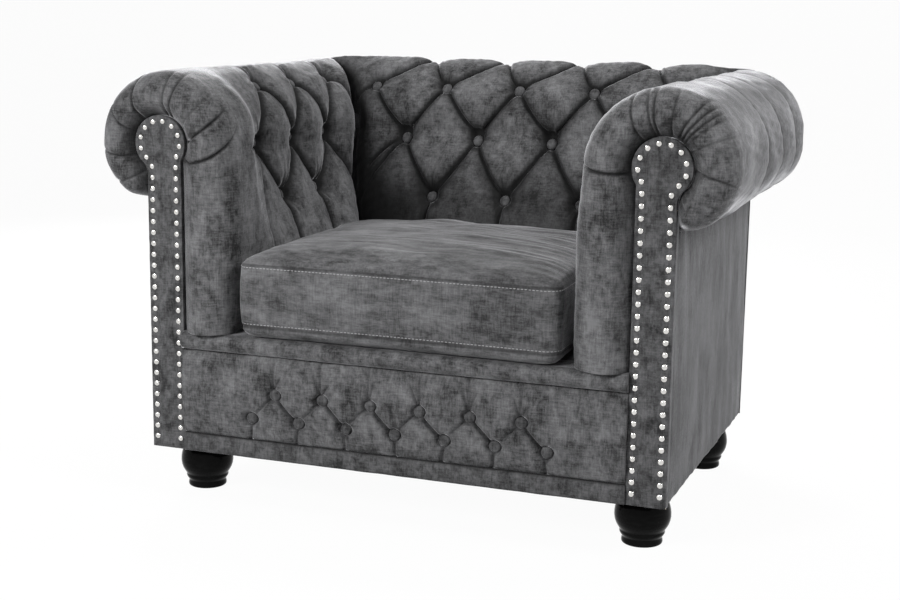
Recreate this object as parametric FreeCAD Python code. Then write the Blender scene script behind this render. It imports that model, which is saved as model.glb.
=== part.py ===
import FreeCAD, Part
import math
import os

# Deep-buttoned rolled-arm armchair, in millimetres, +Z up, the seat facing -Y.
# All pieces are drawn with y = 0 at the front face of the arm facings, x = 0 at the
# middle of the chair and z = 0 on the floor, and are moved back together at the end,
# so that the origin lies on the floor under the middle of the whole chair.

V = FreeCAD.Vector
X_AXIS = V(1, 0, 0)
Z_AXIS = V(0, 0, 1)
TO_FRONT = V(0, -1, 0)

# Outer body
STEM_IN_X = 372.0
STEM_W = 61.0
BODY_DEPTH = 603.0
ROLL_PROUD = 22.0
BACK_OVERHANG = 102.0
ARM_OVERHANG = 85.0

# Feet and their fixings
FOOT_H = 84.0
FOOT_R = 44.0
FOOT_BASE_R = 31.5
FOOT_NECK_R = 31.0
FOOT_COLLAR_R = 33.0
FOOT_COLLAR_H = 7.0
FOOT_NECK_Z = 11.0
FOOT_BASE_H = 7.0
FOOT_BELLY_UP = 2.0
FOOT_FACETS = 6
FOOT_SIDES = 24
FOOT_INSET_X = 53.0
FOOT_INSET_Y = 85.0
BOLT_R = 4.0
BOLT_IN_FOOT = 40.0
TEE_NUT_R = 5.5
TEE_NUT_L = 11.0
TEE_FLANGE_R = 10.0
TEE_FLANGE_T = 1.5
FASTENER_SIDES = 8
FIT = 0.05

# Timber frame
RAIL_T = 30.0
RAIL_H = 150.0
SIDE_RAIL_T = 28.0
POST_W = 66.0
ARM_POST_TOP = 540.0
ARM_RAIL_H = 40.0
STUFF_RAIL_T = 26.0
STUFF_RAIL_H = 45.0
BACK_POST_T = 44.0
BACK_RAIL_IN = 15.0
BACK_RAIL_T = 40.0
BACK_RAIL_TOP = 600.0
BACK_RAIL_H = 55.0
BACK_STUFF_IN = 81.0
UPRIGHT_W = 40.0
BLOCK_LEG = 120.0
BLOCK_H = 45.0
BOLT_SHORT = 2.0
DUST_PLAY = 2.0

# Webbing, hessian, boards and covers
WEB_T = 2.0
WEB_W = 50.0
WEB_PITCH = 120.0
HESSIAN_T = 1.5
BOARD_T = 3.0
COVER_T = 4.0
FACING_BOARD_T = 16.0
FACING_COVER_T = 2.0
DUST_T = 1.2
DECK_PAD_T = 45.5
SIDE_COVER_TOP = 495.0
SEAT_GAP = 0.3

# Facing head
HEAD_R = 45.0
HEAD_IN = 7.5
HEAD_Z = 587.0
HEAD_TURN = 35.0
NECK_Z = 528.0
NECK_HOLLOW_IN = 0.12
NECK_HOLLOW_UP = 0.55

# Arm pad outlines: across from the facing's inner edge, and up from the floor
ARM_PAD_IN = 100.0
FRONT_PAD_IN = 92.0
FRONT_LEAN = 6.0
FRONT_HOLLOW = 3.0
ARM_FLAT_Z = 400.0
ARM_LEAN_IN = 50.0
ARM_LEAN_Z = 570.0
ARM_BELLY = 7.0
ARM_CREST_OUT = 28.0
FRONT_CREST_IN = 5.0
ARM_CREST_Z = 702.0
ROLL_SIDE_Z = 596.0
ROLL_UNDER = 13.0
ROLL_LIP = 2.0
FRONT_FULL_Y = 100.0
TUFT_START_Y = 150.0
CURVE_SIDES = 5
SEAM_SIDES = 4
CORNER_SIDES = 3
CROWN_SIDES = 8

# How the front end of an arm roll is rounded over: how far in, how far back
FRONT_INSETS = (26.0, 12.0, 4.0, 0.0)
FRONT_STEPS = (0.0, 5.0, 15.0, 32.0)

# Back pad outline: forward or back of the outside of the back, and up from the floor
BACK_PAD_IN = 133.0
BACK_LEAN_IN = 48.0
BACK_LEAN_Z = 580.0
BACK_HOLLOW = 2.0
BACK_CREST_OUT = 35.0
BACK_CREST_Z = 710.0
BACK_SIDE_Z = 622.0

# Deep buttoning
BUTTON_R = 10.0
BUTTON_RIM = 3.0
BUTTON_DOME = 4.0
BUTTON_SIDES = 8
PIT_R = 42.0
PIT_H = 40.0
PIT_FLOOR_R = 12.0
PIT_SIDES = 8
PLEAT_HALF = 9.0
PLEAT_H = 30.0
PLEAT_LIFT = 8.0
RING_HALF = 7.0
RING_DEPTH = 7.0
BACK_BUTTON_PITCH = 143.0
BACK_ROW_END = 60.0
FIRST_BUTTON_IN = 42.0
LAST_BUTTON_IN = 6.0
PLEAT_FOOT_IN = 12.0
PLEAT_FOOT_DROP = 8.0
RADIAL_PLEATS = 6
RADIAL_START = -25.0
RADIAL_SPAN = 205.0
RADIAL_REACH = 2.6
RADIAL_HALF = 5.0
RADIAL_H = 22.0

# Button rows of an arm, from the lean line or the crest: inwards, up, and the tilt of the seat
ARM_LOW_IN = 9.0
ARM_LOW_UP = -90.0
ARM_LOW_TILT = 18.0
ARM_MID_IN = 27.0
ARM_MID_UP = 8.0
ARM_MID_TILT = 21.7
ARM_TOP_IN = -24.0
ARM_TOP_UP = -38.0
ARM_TOP_TILT = 48.7

# Button rows of the back, in the same way
BACK_LOW_IN = -31.0
BACK_LOW_UP = -123.0
BACK_LOW_TILT = 25.5
BACK_MID_IN = 19.0
BACK_MID_UP = -20.0
BACK_MID_TILT = 19.9
BACK_HIGH_IN = 41.0
BACK_HIGH_UP = 72.0
BACK_HIGH_TILT = 18.1
BACK_TOP_IN = 10.0
BACK_TOP_UP = -20.0
BACK_TOP_TILT = 98.0
BACK_TOP_SIDE = 36.0

# Front rail cover
BAND_H = 31.0
RAIL_PAD_H = 140.0
RAIL_PROUD = 8.0
BAND_PROUD = 4.0
LIP_PROUD = 14.0
LIP_EDGE_LOW = 4.0
LIP_EDGE_HIGH = 2.0
RAIL_EDGE_IN = 2.0
RAIL_ROW_END = 100.0
RAIL_PIT_H = 20.0
RAIL_PLEAT_LIFT = 4.0
RAIL_PLEAT_HALF = 6.0
RAIL_PLEAT_H = 24.0
RAIL_BUTTON_PITCH = 83.0
RAIL_ROW_LOW = 150.0
RAIL_ROW_HIGH = 192.0
RAIL_PIT_R = 24.0
RAIL_SEAT_Y = 6.0

# Nails
NAIL_R = 4.75
NAIL_H = 2.4
NAIL_MARGIN = 9.0
NAIL_PITCH = 17.7
NAIL_SIDES = 6

# Seat cushion
CUSHION_SIDE_PLAY = 7.0
CUSHION_BACK_PLAY = 10.0
CUSHION_FOOT_IN = 12.0
CUSHION_SEAM_LOW = 18.0
CUSHION_WALL_H = 102.0
CUSHION_CROWN = 38.0
CUSHION_DRAW = 5.0
CUSHION_BELLY = 4.0
CUSHION_CORNER = 26.0
CUSHION_SKIN = 2.0
ZIP_L = 420.0
ZIP_W = 9.0
SLIDER_L = 12.0
SLIDER_T = 3.5
SLIDER_ROUND = 1.0

# Places that follow from the sizes above
STEM_OUT_X = STEM_IN_X + STEM_W
FRAME_X = STEM_OUT_X - COVER_T - BOARD_T
FRAME_BACK_Y = BODY_DEPTH - COVER_T - BOARD_T
POST_IN_X = FRAME_X - POST_W
WOOD_Y = FACING_COVER_T + FACING_BOARD_T
RAIL_BACK_Y = WOOD_Y + RAIL_T
BASE_Z = FOOT_H
RAIL_TOP_Z = BASE_Z + RAIL_H
DECK_BASE_Z = RAIL_TOP_Z + 2 * WEB_T + HESSIAN_T
DECK_Z = DECK_BASE_Z + DECK_PAD_T
ARM_SKIN_X = POST_IN_X - WEB_T - HESSIAN_T
HEAD_X = STEM_IN_X - HEAD_IN + HEAD_R
ROLL_OUT_X = STEM_OUT_X + ARM_OVERHANG
BACK_OUT_Y = BODY_DEPTH + BACK_OVERHANG
PAD_FOOT_Z = SIDE_COVER_TOP + SEAT_GAP
BACK_RAIL_Y = BODY_DEPTH - BACK_RAIL_IN
BACK_STUFF_Y = BODY_DEPTH - BACK_STUFF_IN
ARM_IN_X = STEM_IN_X - ARM_PAD_IN
FRONT_IN_X = STEM_IN_X - FRONT_PAD_IN
ARM_LEAN_X = STEM_IN_X - ARM_LEAN_IN
ARM_CREST_X = STEM_IN_X + ARM_CREST_OUT
BACK_IN_Y = BODY_DEPTH - BACK_PAD_IN
BACK_LEAN_Y = BODY_DEPTH - BACK_LEAN_IN
BACK_CREST_Y = BODY_DEPTH + BACK_CREST_OUT
FIRST_BUTTON_Y = TUFT_START_Y + FIRST_BUTTON_IN
ARM_BUTTON_PITCH = (BACK_IN_Y - LAST_BUTTON_IN - FIRST_BUTTON_Y) / 2
CUSHION_HALF_W = ARM_IN_X - CUSHION_SIDE_PLAY
CUSHION_FRONT = -LIP_PROUD
CUSHION_D = BACK_IN_Y - CUSHION_BACK_PLAY - CUSHION_FRONT


def solid_box(x0, x1, y0, y1, z0, z1):
    return Part.makeBox(x1 - x0, y1 - y0, z1 - z0, V(x0, y0, z0))


def prism(points, start, reach):
    """A flat polygon through the points, drawn out along the vector reach."""
    return flat([p + start for p in points]).extrude(reach)


def prism_x(yz, x0, x1):
    return prism([V(0, y, z) for y, z in yz], V(x0, 0, 0), V(x1 - x0, 0, 0))


def prism_y(xz, y0, y1):
    return prism([V(x, 0, z) for x, z in xz], V(0, y0, 0), V(0, y1 - y0, 0))


def prism_z(xy, z0, z1):
    return prism([V(x, y, 0) for x, y in xy], V(0, 0, z0), V(0, 0, z1 - z0))


def flat(points):
    return Part.Face(polygon(points))


def ring(radius, z, sides):
    step = 2 * math.pi / sides
    turns = [(i + 0.5) * step for i in range(sides)]
    return [V(radius * math.cos(t), radius * math.sin(t), z) for t in turns]


def closed_stack(rings, lids):
    """A solid between rings with the same number of points, closed by a flat foot and by the lids."""
    faces = [flat(rings[0])] + [flat(lid) for lid in lids]
    for low, high in zip(rings, rings[1:]):
        faces += [flat([low[i - 1], low[i], high[i], high[i - 1]]) for i in range(len(low))]
    shape = Part.Solid(Part.Shell(faces))
    if shape.Volume < 0:
        shape.reverse()
    return shape


def faceted_rod(radius, height, foot):
    return flat([p + foot for p in ring(radius, 0, FASTENER_SIDES)]).extrude(V(0, 0, height))


def line(a, b):
    return Part.LineSegment(a, b).toShape()


def arc(a, b, c):
    return Part.Arc(a, b, c).toShape()


def bend(a, b, c, sides):
    """Points on the circle through a, b and c, evenly from a to c without c itself."""
    return arc(a, b, c).discretize(Number=sides + 1)[:-1]


def polygon(points):
    return Part.makePolygon(points + points[:1])


def outline_wire(p):
    """A pad's cross-section: flat at the foot, three bent stretches over the roll, one under it, and its base."""
    bends = [q for k in (1, 3, 5, 7) for q in bend(p[k], p[k + 1], p[k + 2], CURVE_SIDES)]
    return polygon(p[:1] + bends + p[9:])


def mirrored(shape):
    return shape.mirror(V(0, 0, 0), X_AXIS)


def four_corners(shape):
    """A piece at the right front, copied to all four corners of the body."""
    right = [shape, shape.mirror(V(0, (WOOD_Y + FRAME_BACK_Y) / 2, 0), V(0, 1, 0))]
    return right + [mirrored(s) for s in right]


pieces = {}


def keep(name, *shapes):
    pieces[name] = shapes[0] if len(shapes) == 1 else Part.makeCompound(list(shapes))


def keep_pair(name, *shapes):
    keep(name + "_right", *shapes)
    keep(name + "_left", *[mirrored(s) for s in shapes])


def write_all():
    """Moves every piece so that the chair stands with the middle of its box over the origin."""
    outer = [pieces["back_pad"], pieces["arm_pad_left"], pieces["arm_pad_right"]]
    box = Part.makeCompound(outer).optimalBoundingBox()
    print("front", round(box.YMin, 2), "back", round(box.YMax, 2), "half width", round(box.XMax, 2))
    for name, shape in pieces.items():
        shape.translate(V(0, -(box.YMin + box.YMax) / 2, 0))
        shape.exportStep("parts/" + name + ".step")
        print(name, len(shape.Solids), round(shape.Volume), shape.isValid())


# Timber frame
def back_post_outline(top):
    """Side view of a back post: straight below, leaning out under the back roll."""
    front_y = FRAME_BACK_Y - BACK_POST_T
    rear_y = BACK_RAIL_Y + BACK_RAIL_T
    return [(front_y, BASE_Z), (FRAME_BACK_Y, BASE_Z), (FRAME_BACK_Y, SIDE_COVER_TOP),
            (rear_y, SIDE_COVER_TOP + (rear_y - FRAME_BACK_Y)), (rear_y, top),
            (BACK_RAIL_Y, top), (BACK_RAIL_Y, BACK_RAIL_TOP - BACK_RAIL_H),
            (front_y, DECK_Z + STUFF_RAIL_H)]


def make_frame():
    keep("front_rail", solid_box(-POST_IN_X, POST_IN_X, WOOD_Y, RAIL_BACK_Y, BASE_Z, RAIL_TOP_Z))
    rear_rail_y = FRAME_BACK_Y - RAIL_T
    keep("back_rail", solid_box(-POST_IN_X, POST_IN_X, rear_rail_y, FRAME_BACK_Y, BASE_Z, RAIL_TOP_Z))
    post_y = FRAME_BACK_Y - BACK_POST_T
    keep_pair("side_rail", solid_box(FRAME_X - SIDE_RAIL_T, FRAME_X, RAIL_BACK_Y, post_y,
                                      BASE_Z, RAIL_TOP_Z + WEB_T))
    keep_pair("front_post", solid_box(POST_IN_X, FRAME_X, WOOD_Y, RAIL_BACK_Y, BASE_Z, ARM_POST_TOP))
    keep_pair("back_post", prism_x(back_post_outline(BACK_RAIL_TOP), POST_IN_X, FRAME_X))
    keep_pair("arm_top_rail", solid_box(POST_IN_X, FRAME_X, RAIL_BACK_Y, arm_rail_end(),
                                         ARM_POST_TOP - ARM_RAIL_H, ARM_POST_TOP))
    keep_pair("arm_stuffing_rail", solid_box(POST_IN_X, POST_IN_X + STUFF_RAIL_T, RAIL_BACK_Y, post_y,
                                              DECK_Z, DECK_Z + STUFF_RAIL_H))
    keep("back_stuffing_rail", solid_box(-POST_IN_X, POST_IN_X, BACK_STUFF_Y, BACK_STUFF_Y + STUFF_RAIL_T,
                                          DECK_Z, DECK_Z + STUFF_RAIL_H))
    keep("back_top_rail", solid_box(-POST_IN_X, POST_IN_X, BACK_RAIL_Y, BACK_RAIL_Y + BACK_RAIL_T,
                                     BACK_RAIL_TOP - BACK_RAIL_H, BACK_RAIL_TOP))
    upright = prism_x([(rear_rail_y, RAIL_TOP_Z), (FRAME_BACK_Y, RAIL_TOP_Z), (FRAME_BACK_Y, SIDE_COVER_TOP),
                       (BACK_RAIL_Y + BACK_RAIL_T, BACK_RAIL_TOP - BACK_RAIL_H),
                       (BACK_RAIL_Y, BACK_RAIL_TOP - BACK_RAIL_H)], -UPRIGHT_W / 2, UPRIGHT_W / 2)
    keep("back_upright", upright)
    make_feet_and_blocks()


def arm_rail_end():
    """Where the leaning front edge of the back post passes the lowest level of the arm rail."""
    front_y = FRAME_BACK_Y - BACK_POST_T
    low_z = DECK_Z + STUFF_RAIL_H
    rise = (ARM_POST_TOP - ARM_RAIL_H - low_z) / (BACK_RAIL_TOP - BACK_RAIL_H - low_z)
    return front_y + (BACK_RAIL_Y - front_y) * rise


def make_feet_and_blocks():
    foot_x = STEM_OUT_X - FOOT_INSET_X
    foot_y = FOOT_INSET_Y
    belly = arc(V(FOOT_NECK_R, 0, FOOT_NECK_Z), V(FOOT_R, 0, FOOT_H / 2 + FOOT_BELLY_UP),
                V(FOOT_COLLAR_R, 0, FOOT_H - FOOT_COLLAR_H))
    profile = [V(FOOT_BASE_R, 0, 0), V(FOOT_BASE_R, 0, FOOT_BASE_H)]
    profile += belly.discretize(Number=FOOT_FACETS + 1) + [V(FOOT_COLLAR_R, 0, FOOT_H)]
    foot = closed_stack([ring(p.x, p.z, FOOT_SIDES) for p in profile], [ring(FOOT_COLLAR_R, FOOT_H, FOOT_SIDES)])
    bore_z = FOOT_H - BOLT_IN_FOOT
    foot = foot.cut(faceted_rod(BOLT_R + FIT, BOLT_IN_FOOT, V(0, 0, bore_z)))
    foot.translate(V(foot_x, foot_y, 0))
    names = ["front_foot_right", "rear_foot_right", "front_foot_left", "rear_foot_left"]
    for name, shape in zip(names, four_corners(foot)):
        keep(name, shape)

    nut_z = BASE_Z + BLOCK_H - TEE_NUT_L
    bolt = faceted_rod(BOLT_R, BOLT_IN_FOOT + BLOCK_H - BOLT_SHORT, V(foot_x, foot_y, bore_z))
    keep("foot_bolts", *four_corners(bolt))
    nut = faceted_rod(TEE_NUT_R, TEE_NUT_L, V(foot_x, foot_y, nut_z))
    nut = nut.fuse(faceted_rod(TEE_FLANGE_R, TEE_FLANGE_T, V(foot_x, foot_y, nut_z + TEE_NUT_L)))
    nut = nut.cut(faceted_rod(BOLT_R + FIT, TEE_NUT_L + TEE_FLANGE_T, V(foot_x, foot_y, nut_z)))
    keep("foot_tee_nuts", *four_corners(nut))

    in_x = FRAME_X - SIDE_RAIL_T
    block = prism_z([(in_x, RAIL_BACK_Y), (in_x, RAIL_BACK_Y + BLOCK_LEG), (in_x - BLOCK_LEG, RAIL_BACK_Y)],
                    BASE_Z, BASE_Z + BLOCK_H)
    block = block.cut(faceted_rod(TEE_NUT_R + FIT, BLOCK_H, V(foot_x, foot_y, BASE_Z)))
    rear = block.mirror(V(0, (WOOD_Y + FRAME_BACK_Y) / 2, 0), V(0, 1, 0))
    rear = rear.cut(prism_x(back_post_outline(BACK_RAIL_TOP), POST_IN_X, FRAME_X))
    keep("corner_blocks", block, rear, mirrored(block), mirrored(rear))

    dust = solid_box(-FRAME_X, FRAME_X, WOOD_Y, FRAME_BACK_Y, BASE_Z - DUST_T, BASE_Z)
    reach = FOOT_COLLAR_R + DUST_PLAY
    hole = solid_box(foot_x - reach, foot_x + reach, foot_y - reach, foot_y + reach, 0, FOOT_H + DUST_T)
    keep("dust_cover", dust.cut(four_corners(hole)))


# Seat platform
def make_seat_platform():
    straps = []
    count = int((2 * POST_IN_X - WEB_W) // WEB_PITCH) + 1
    for i in range(count):
        x = (i - (count - 1) / 2) * WEB_PITCH
        straps.append(solid_box(x - WEB_W / 2, x + WEB_W / 2, WOOD_Y, FRAME_BACK_Y, RAIL_TOP_Z, RAIL_TOP_Z + WEB_T))
    keep("seat_webbing_lengthwise", *straps)
    straps = []
    span = FRAME_BACK_Y - BACK_POST_T - RAIL_BACK_Y
    count = int((span - WEB_W) // WEB_PITCH) + 1
    for i in range(count):
        y = RAIL_BACK_Y + span / 2 + (i - (count - 1) / 2) * WEB_PITCH
        straps.append(solid_box(-FRAME_X, FRAME_X, y - WEB_W / 2, y + WEB_W / 2,
                                RAIL_TOP_Z + WEB_T, RAIL_TOP_Z + 2 * WEB_T))
    keep("seat_webbing_crosswise", *straps)
    hessian_z = RAIL_TOP_Z + 2 * WEB_T
    keep("seat_hessian", solid_box(-FRAME_X, FRAME_X, RAIL_BACK_Y, FRAME_BACK_Y - BACK_POST_T,
                                    hessian_z, hessian_z + HESSIAN_T))
    keep("seat_deck_pad", solid_box(-ARM_SKIN_X, ARM_SKIN_X, RAIL_BACK_Y, BACK_STUFF_Y - WEB_T - HESSIAN_T,
                                     DECK_BASE_Z, DECK_Z))


# Webbing and hessian of the arms and the back
def make_wall_webbing():
    straps = []
    sheet_y0 = RAIL_BACK_Y
    sheet_y1 = BACK_STUFF_Y - WEB_T - HESSIAN_T
    span = sheet_y1 - sheet_y0
    count = int((span - WEB_W) // WEB_PITCH) + 1
    for i in range(count):
        y = sheet_y0 + span / 2 + (i - (count - 1) / 2) * WEB_PITCH
        straps.append(solid_box(POST_IN_X - WEB_T, POST_IN_X, y - WEB_W / 2, y + WEB_W / 2, DECK_Z, ARM_POST_TOP))
    keep_pair("arm_webbing", *straps)
    keep_pair("arm_hessian", solid_box(ARM_SKIN_X, ARM_SKIN_X + HESSIAN_T, sheet_y0, sheet_y1,
                                        DECK_Z, ARM_POST_TOP))
    straps = []
    count = int((2 * ARM_SKIN_X - WEB_W) // WEB_PITCH)
    for i in range(count):
        x = (i - (count - 1) / 2) * WEB_PITCH
        straps.append(prism_x(back_sheet(0, WEB_T), x - WEB_W / 2, x + WEB_W / 2))
    keep("back_webbing", *straps)
    keep("back_hessian", prism_x(back_sheet(WEB_T, WEB_T + HESSIAN_T), -ARM_SKIN_X, ARM_SKIN_X))


def back_line(off):
    """The front faces of the two back rails and the straight way between them, moved forward by off."""
    return [(BACK_STUFF_Y - off, DECK_Z), (BACK_STUFF_Y - off, DECK_Z + STUFF_RAIL_H),
            (BACK_RAIL_Y - off, BACK_RAIL_TOP - BACK_RAIL_H), (BACK_RAIL_Y - off, BACK_RAIL_TOP)]


def back_sheet(near, far):
    return back_line(near) + back_line(far)[::-1]


# Outside panels
def make_outside_panels():
    cover_x = STEM_OUT_X - COVER_T
    cover_y = BODY_DEPTH - COVER_T
    keep_pair("outside_arm_board", solid_box(FRAME_X, cover_x, WOOD_Y, FRAME_BACK_Y, BASE_Z, SIDE_COVER_TOP))
    keep_pair("outside_arm_cover", solid_box(cover_x, STEM_OUT_X, WOOD_Y, cover_y, BASE_Z, SIDE_COVER_TOP))
    keep("outside_back_board", solid_box(-cover_x, cover_x, FRAME_BACK_Y, cover_y, BASE_Z, SIDE_COVER_TOP))
    back = solid_box(-STEM_OUT_X, STEM_OUT_X, cover_y, BODY_DEPTH, BASE_Z, SIDE_COVER_TOP)
    upright = [e for e in back.Edges if abs(e.tangentAt(e.FirstParameter).z) > 0.9]
    edges = [e for e in upright if abs(e.CenterOfMass.y - BODY_DEPTH) < FIT]
    keep("outside_back_cover", back.makeFillet(0.8 * COVER_T, edges))


# Facings and nails
def facing_edges(grow, y):
    """The paddle outline of an arm front, grown outwards by grow: straight stem, round head, hollow neck."""
    in_x = STEM_IN_X - grow
    out_x = STEM_OUT_X + grow
    r = HEAD_R + grow
    drop = math.sqrt(r ** 2 - (HEAD_X - in_x) ** 2)
    head_low = V(in_x, y, HEAD_Z - drop)
    turn = math.radians(HEAD_TURN)
    head_out = V(HEAD_X + r * math.cos(turn), y, HEAD_Z - r * math.sin(turn))
    neck = V(out_x, y, NECK_Z - grow)
    hollow = V(out_x + NECK_HOLLOW_IN * (head_out.x - out_x), y,
               neck.z + NECK_HOLLOW_UP * (head_out.z - neck.z))
    return [line(V(in_x, y, BASE_Z), head_low), arc(head_low, V(HEAD_X, y, HEAD_Z + r), head_out),
            arc(head_out, hollow, neck), line(neck, V(out_x, y, BASE_Z))]


def facing_wire(grow, y):
    edges = facing_edges(grow, y)
    return Part.Wire(edges + [line(edges[-1].Vertexes[-1].Point, edges[0].Vertexes[0].Point)])


def facing_face(grow, y):
    return Part.Face(facing_wire(grow, y))


def make_facings():
    keep_pair("facing_board", facing_face(0, FACING_COVER_T).extrude(V(0, FACING_BOARD_T, 0)))
    keep_pair("facing_cover", facing_face(0, 0).extrude(V(0, FACING_COVER_T, 0)))
    path = Part.Wire(facing_edges(-NAIL_MARGIN, 0))
    count = int(path.Length // NAIL_PITCH)
    points = path.discretize(Number=count + 1)[1:-1]
    keep_pair("facing_nails", *[stud(p, TO_FRONT, NAIL_R, 0, NAIL_H, NAIL_SIDES) for p in points])


def stud(seat, direction, radius, rim, height, sides):
    """A faceted stud on its seat: an upright rim, if any, under a shoulder and a blunt tip."""
    rings = [ring(radius, 0, sides), ring(0.72 * radius, rim + 0.62 * height, sides)]
    if rim > 0:
        rings.insert(1, ring(radius, rim, sides))
    tip = V(0, 0, rim + height)
    last = rings[-1]
    shape = closed_stack(rings, [[last[i - 1], last[i], tip] for i in range(sides)])
    shape.Placement = FreeCAD.Placement(seat, FreeCAD.Rotation(Z_AXIS, direction))
    return shape


# Deep buttoning
def pit(seat, out, wide=PIT_R, deep=PIT_H):
    """A funnel with flat sides and a flat seat for a button."""
    rings = [ring(PIT_FLOOR_R, 0, PIT_SIDES), ring(wide, deep, PIT_SIDES)]
    funnel = Part.makeLoft([Part.makePolygon(r + r[:1]) for r in rings], True, True)
    funnel.Placement = FreeCAD.Placement(seat, FreeCAD.Rotation(Z_AXIS, out))
    return funnel


def pleat(start, end, out, lift=PLEAT_LIFT, half=PLEAT_HALF, high=PLEAT_H):
    """A V-shaped fold line from start to end, open towards out."""
    run = end - start
    side = run.cross(out)
    side.normalize()
    up = side.cross(run)
    up.normalize()
    if up.dot(out) < 0:
        up = up.negative()
    base = start + up * lift
    wedge = [base, base + up * high + side * half, base + up * high - side * half]
    return prism(wedge, V(0, 0, 0), run)


# Arm pads
def arm_outline(kind, inset, y):
    """Cross-section of a right arm pad at y. kind 0 is the full plain front, 1 the leaning buttoned part."""
    in_x = FRONT_IN_X + (ARM_IN_X - FRONT_IN_X) * kind
    front_lean_x = FRONT_IN_X + FRONT_LEAN
    lean_x = front_lean_x + (ARM_LEAN_X - front_lean_x) * kind
    belly_x = (in_x + lean_x) / 2 + ARM_BELLY * kind - FRONT_HOLLOW * (1 - kind)
    crest_x = ARM_CREST_X - FRONT_CREST_IN * (1 - kind)
    shoulder_x = lean_x + 0.27 * (crest_x - lean_x)
    shoulder_z = ARM_LEAN_Z + 0.66 * (ARM_CREST_Z - ARM_LEAN_Z)
    roll_x = ARM_CREST_X + 0.74 * (ROLL_OUT_X - ARM_CREST_X)
    roll_z = ROLL_SIDE_Z + 0.69 * (ARM_CREST_Z - ROLL_SIDE_Z)
    under_x = STEM_OUT_X + ROLL_UNDER
    below_x = under_x + 0.75 * (ROLL_OUT_X - under_x)
    below_z = PAD_FOOT_Z + 0.31 * (ROLL_SIDE_Z - PAD_FOOT_Z)
    i = inset
    points = [V(in_x + i, y, DECK_Z), V(in_x + i, y, ARM_FLAT_Z),
              V(belly_x + i, y, (ARM_FLAT_Z + ARM_LEAN_Z) / 2), V(lean_x + i, y, ARM_LEAN_Z),
              V(shoulder_x + 0.8 * i, y, shoulder_z - 0.6 * i), V(crest_x, y, ARM_CREST_Z - i),
              V(roll_x - 0.7 * i, y, roll_z - 0.7 * i), V(ROLL_OUT_X - i, y, ROLL_SIDE_Z),
              V(below_x - 0.8 * i, y, below_z + 0.6 * i), V(under_x - 0.2 * i, y, PAD_FOOT_Z + ROLL_LIP + i),
              V(STEM_OUT_X, y, PAD_FOOT_Z), V(STEM_OUT_X, y, DECK_Z)]
    return outline_wire(points)


def arm_bar(kind, y0, y1):
    return Part.Face(arm_outline(kind, 0, y0)).extrude(V(0, y1 - y0, 0))


def fold_ring(outline, place, reach):
    """A V groove round a pad where its outline crosses place, cut RING_DEPTH deep."""
    outer = Part.makeLoft([outline(-20, place - RING_HALF), outline(-20, place + RING_HALF)], True, True)
    core = Part.makeLoft([outline(0, place - RING_HALF), outline(RING_DEPTH, place),
                          outline(0, place + RING_HALF)], True, True)
    return outer.cut(core).common(reach)


def mitre_wedge():
    """The room of the right arm pad: everything in front of the corner joint, which follows the
    line in plan where the arm and the back are equally high, inside the rounded outer corner."""
    far = 900.0
    slope = (BACK_CREST_Y - BACK_IN_Y) / (ARM_CREST_X - ARM_IN_X)
    return prism_z([(0, -far), (far, -far), (far, BACK_OUT_Y + far), (ROLL_OUT_X, BACK_OUT_Y),
                    (ARM_CREST_X, BACK_CREST_Y), (0, BACK_IN_Y - slope * ARM_IN_X)], 0, far)


def corner_waste():
    """What the rounded outer corner takes off the right end of the back roll and the arm roll."""
    r = BACK_OVERHANG
    x = ROLL_OUT_X - r
    y = BACK_OUT_Y - r
    square = solid_box(x, ROLL_OUT_X + 10, y, BACK_OUT_Y + 10, DECK_Z, BACK_CREST_Z + 10)
    return square.cut(Part.makeCylinder(r, BACK_CREST_Z + 10, V(x, y, 0)))


def tilted(tilt):
    """How far in and how far up a button faces that is tilted up by so many degrees."""
    return math.cos(math.radians(tilt)), math.sin(math.radians(tilt))


def arm_row(count, first_y, x, z, tilt):
    inwards, up = tilted(tilt)
    return [(V(x, first_y + i * ARM_BUTTON_PITCH, z), V(-inwards, 0, up)) for i in range(count)]


def arm_buttons():
    """Seats and outward directions of the buttons of the right arm, by row."""
    between = FIRST_BUTTON_Y + ARM_BUTTON_PITCH / 2
    return [arm_row(2, between, ARM_LEAN_X + ARM_LOW_IN, ARM_LEAN_Z + ARM_LOW_UP, ARM_LOW_TILT),
            arm_row(3, FIRST_BUTTON_Y, ARM_LEAN_X + ARM_MID_IN, ARM_LEAN_Z + ARM_MID_UP, ARM_MID_TILT),
            arm_row(3, between, ARM_CREST_X + ARM_TOP_IN, ARM_CREST_Z + ARM_TOP_UP, ARM_TOP_TILT)]


def tuft_cuts(rows, row_axis, pitch):
    """Pits at every button, then the folds between two rows, in groups that don't cross each other."""
    groups = [[pit(seat, out) for row in rows for seat, out in row]]
    for low, high in zip(rows, rows[1:]):
        for way in (1, -1):
            groups.append([pleat(a, b, out_a + out_b) for a, out_a in low for b, out_b in high
                           if 0 < way * (b - a).dot(row_axis) < 0.8 * pitch])
    return groups


def carve(solid, groups):
    for tools in groups:
        solid = solid.cut(tools)
    return solid


def make_buttons(name, rows, both_sides):
    studs = [stud(seat + out * FIT, out, BUTTON_R, BUTTON_RIM, BUTTON_DOME, BUTTON_SIDES)
             for row in rows for seat, out in row]
    if both_sides:
        keep_pair(name, *studs)
    else:
        keep(name, *studs)


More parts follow.
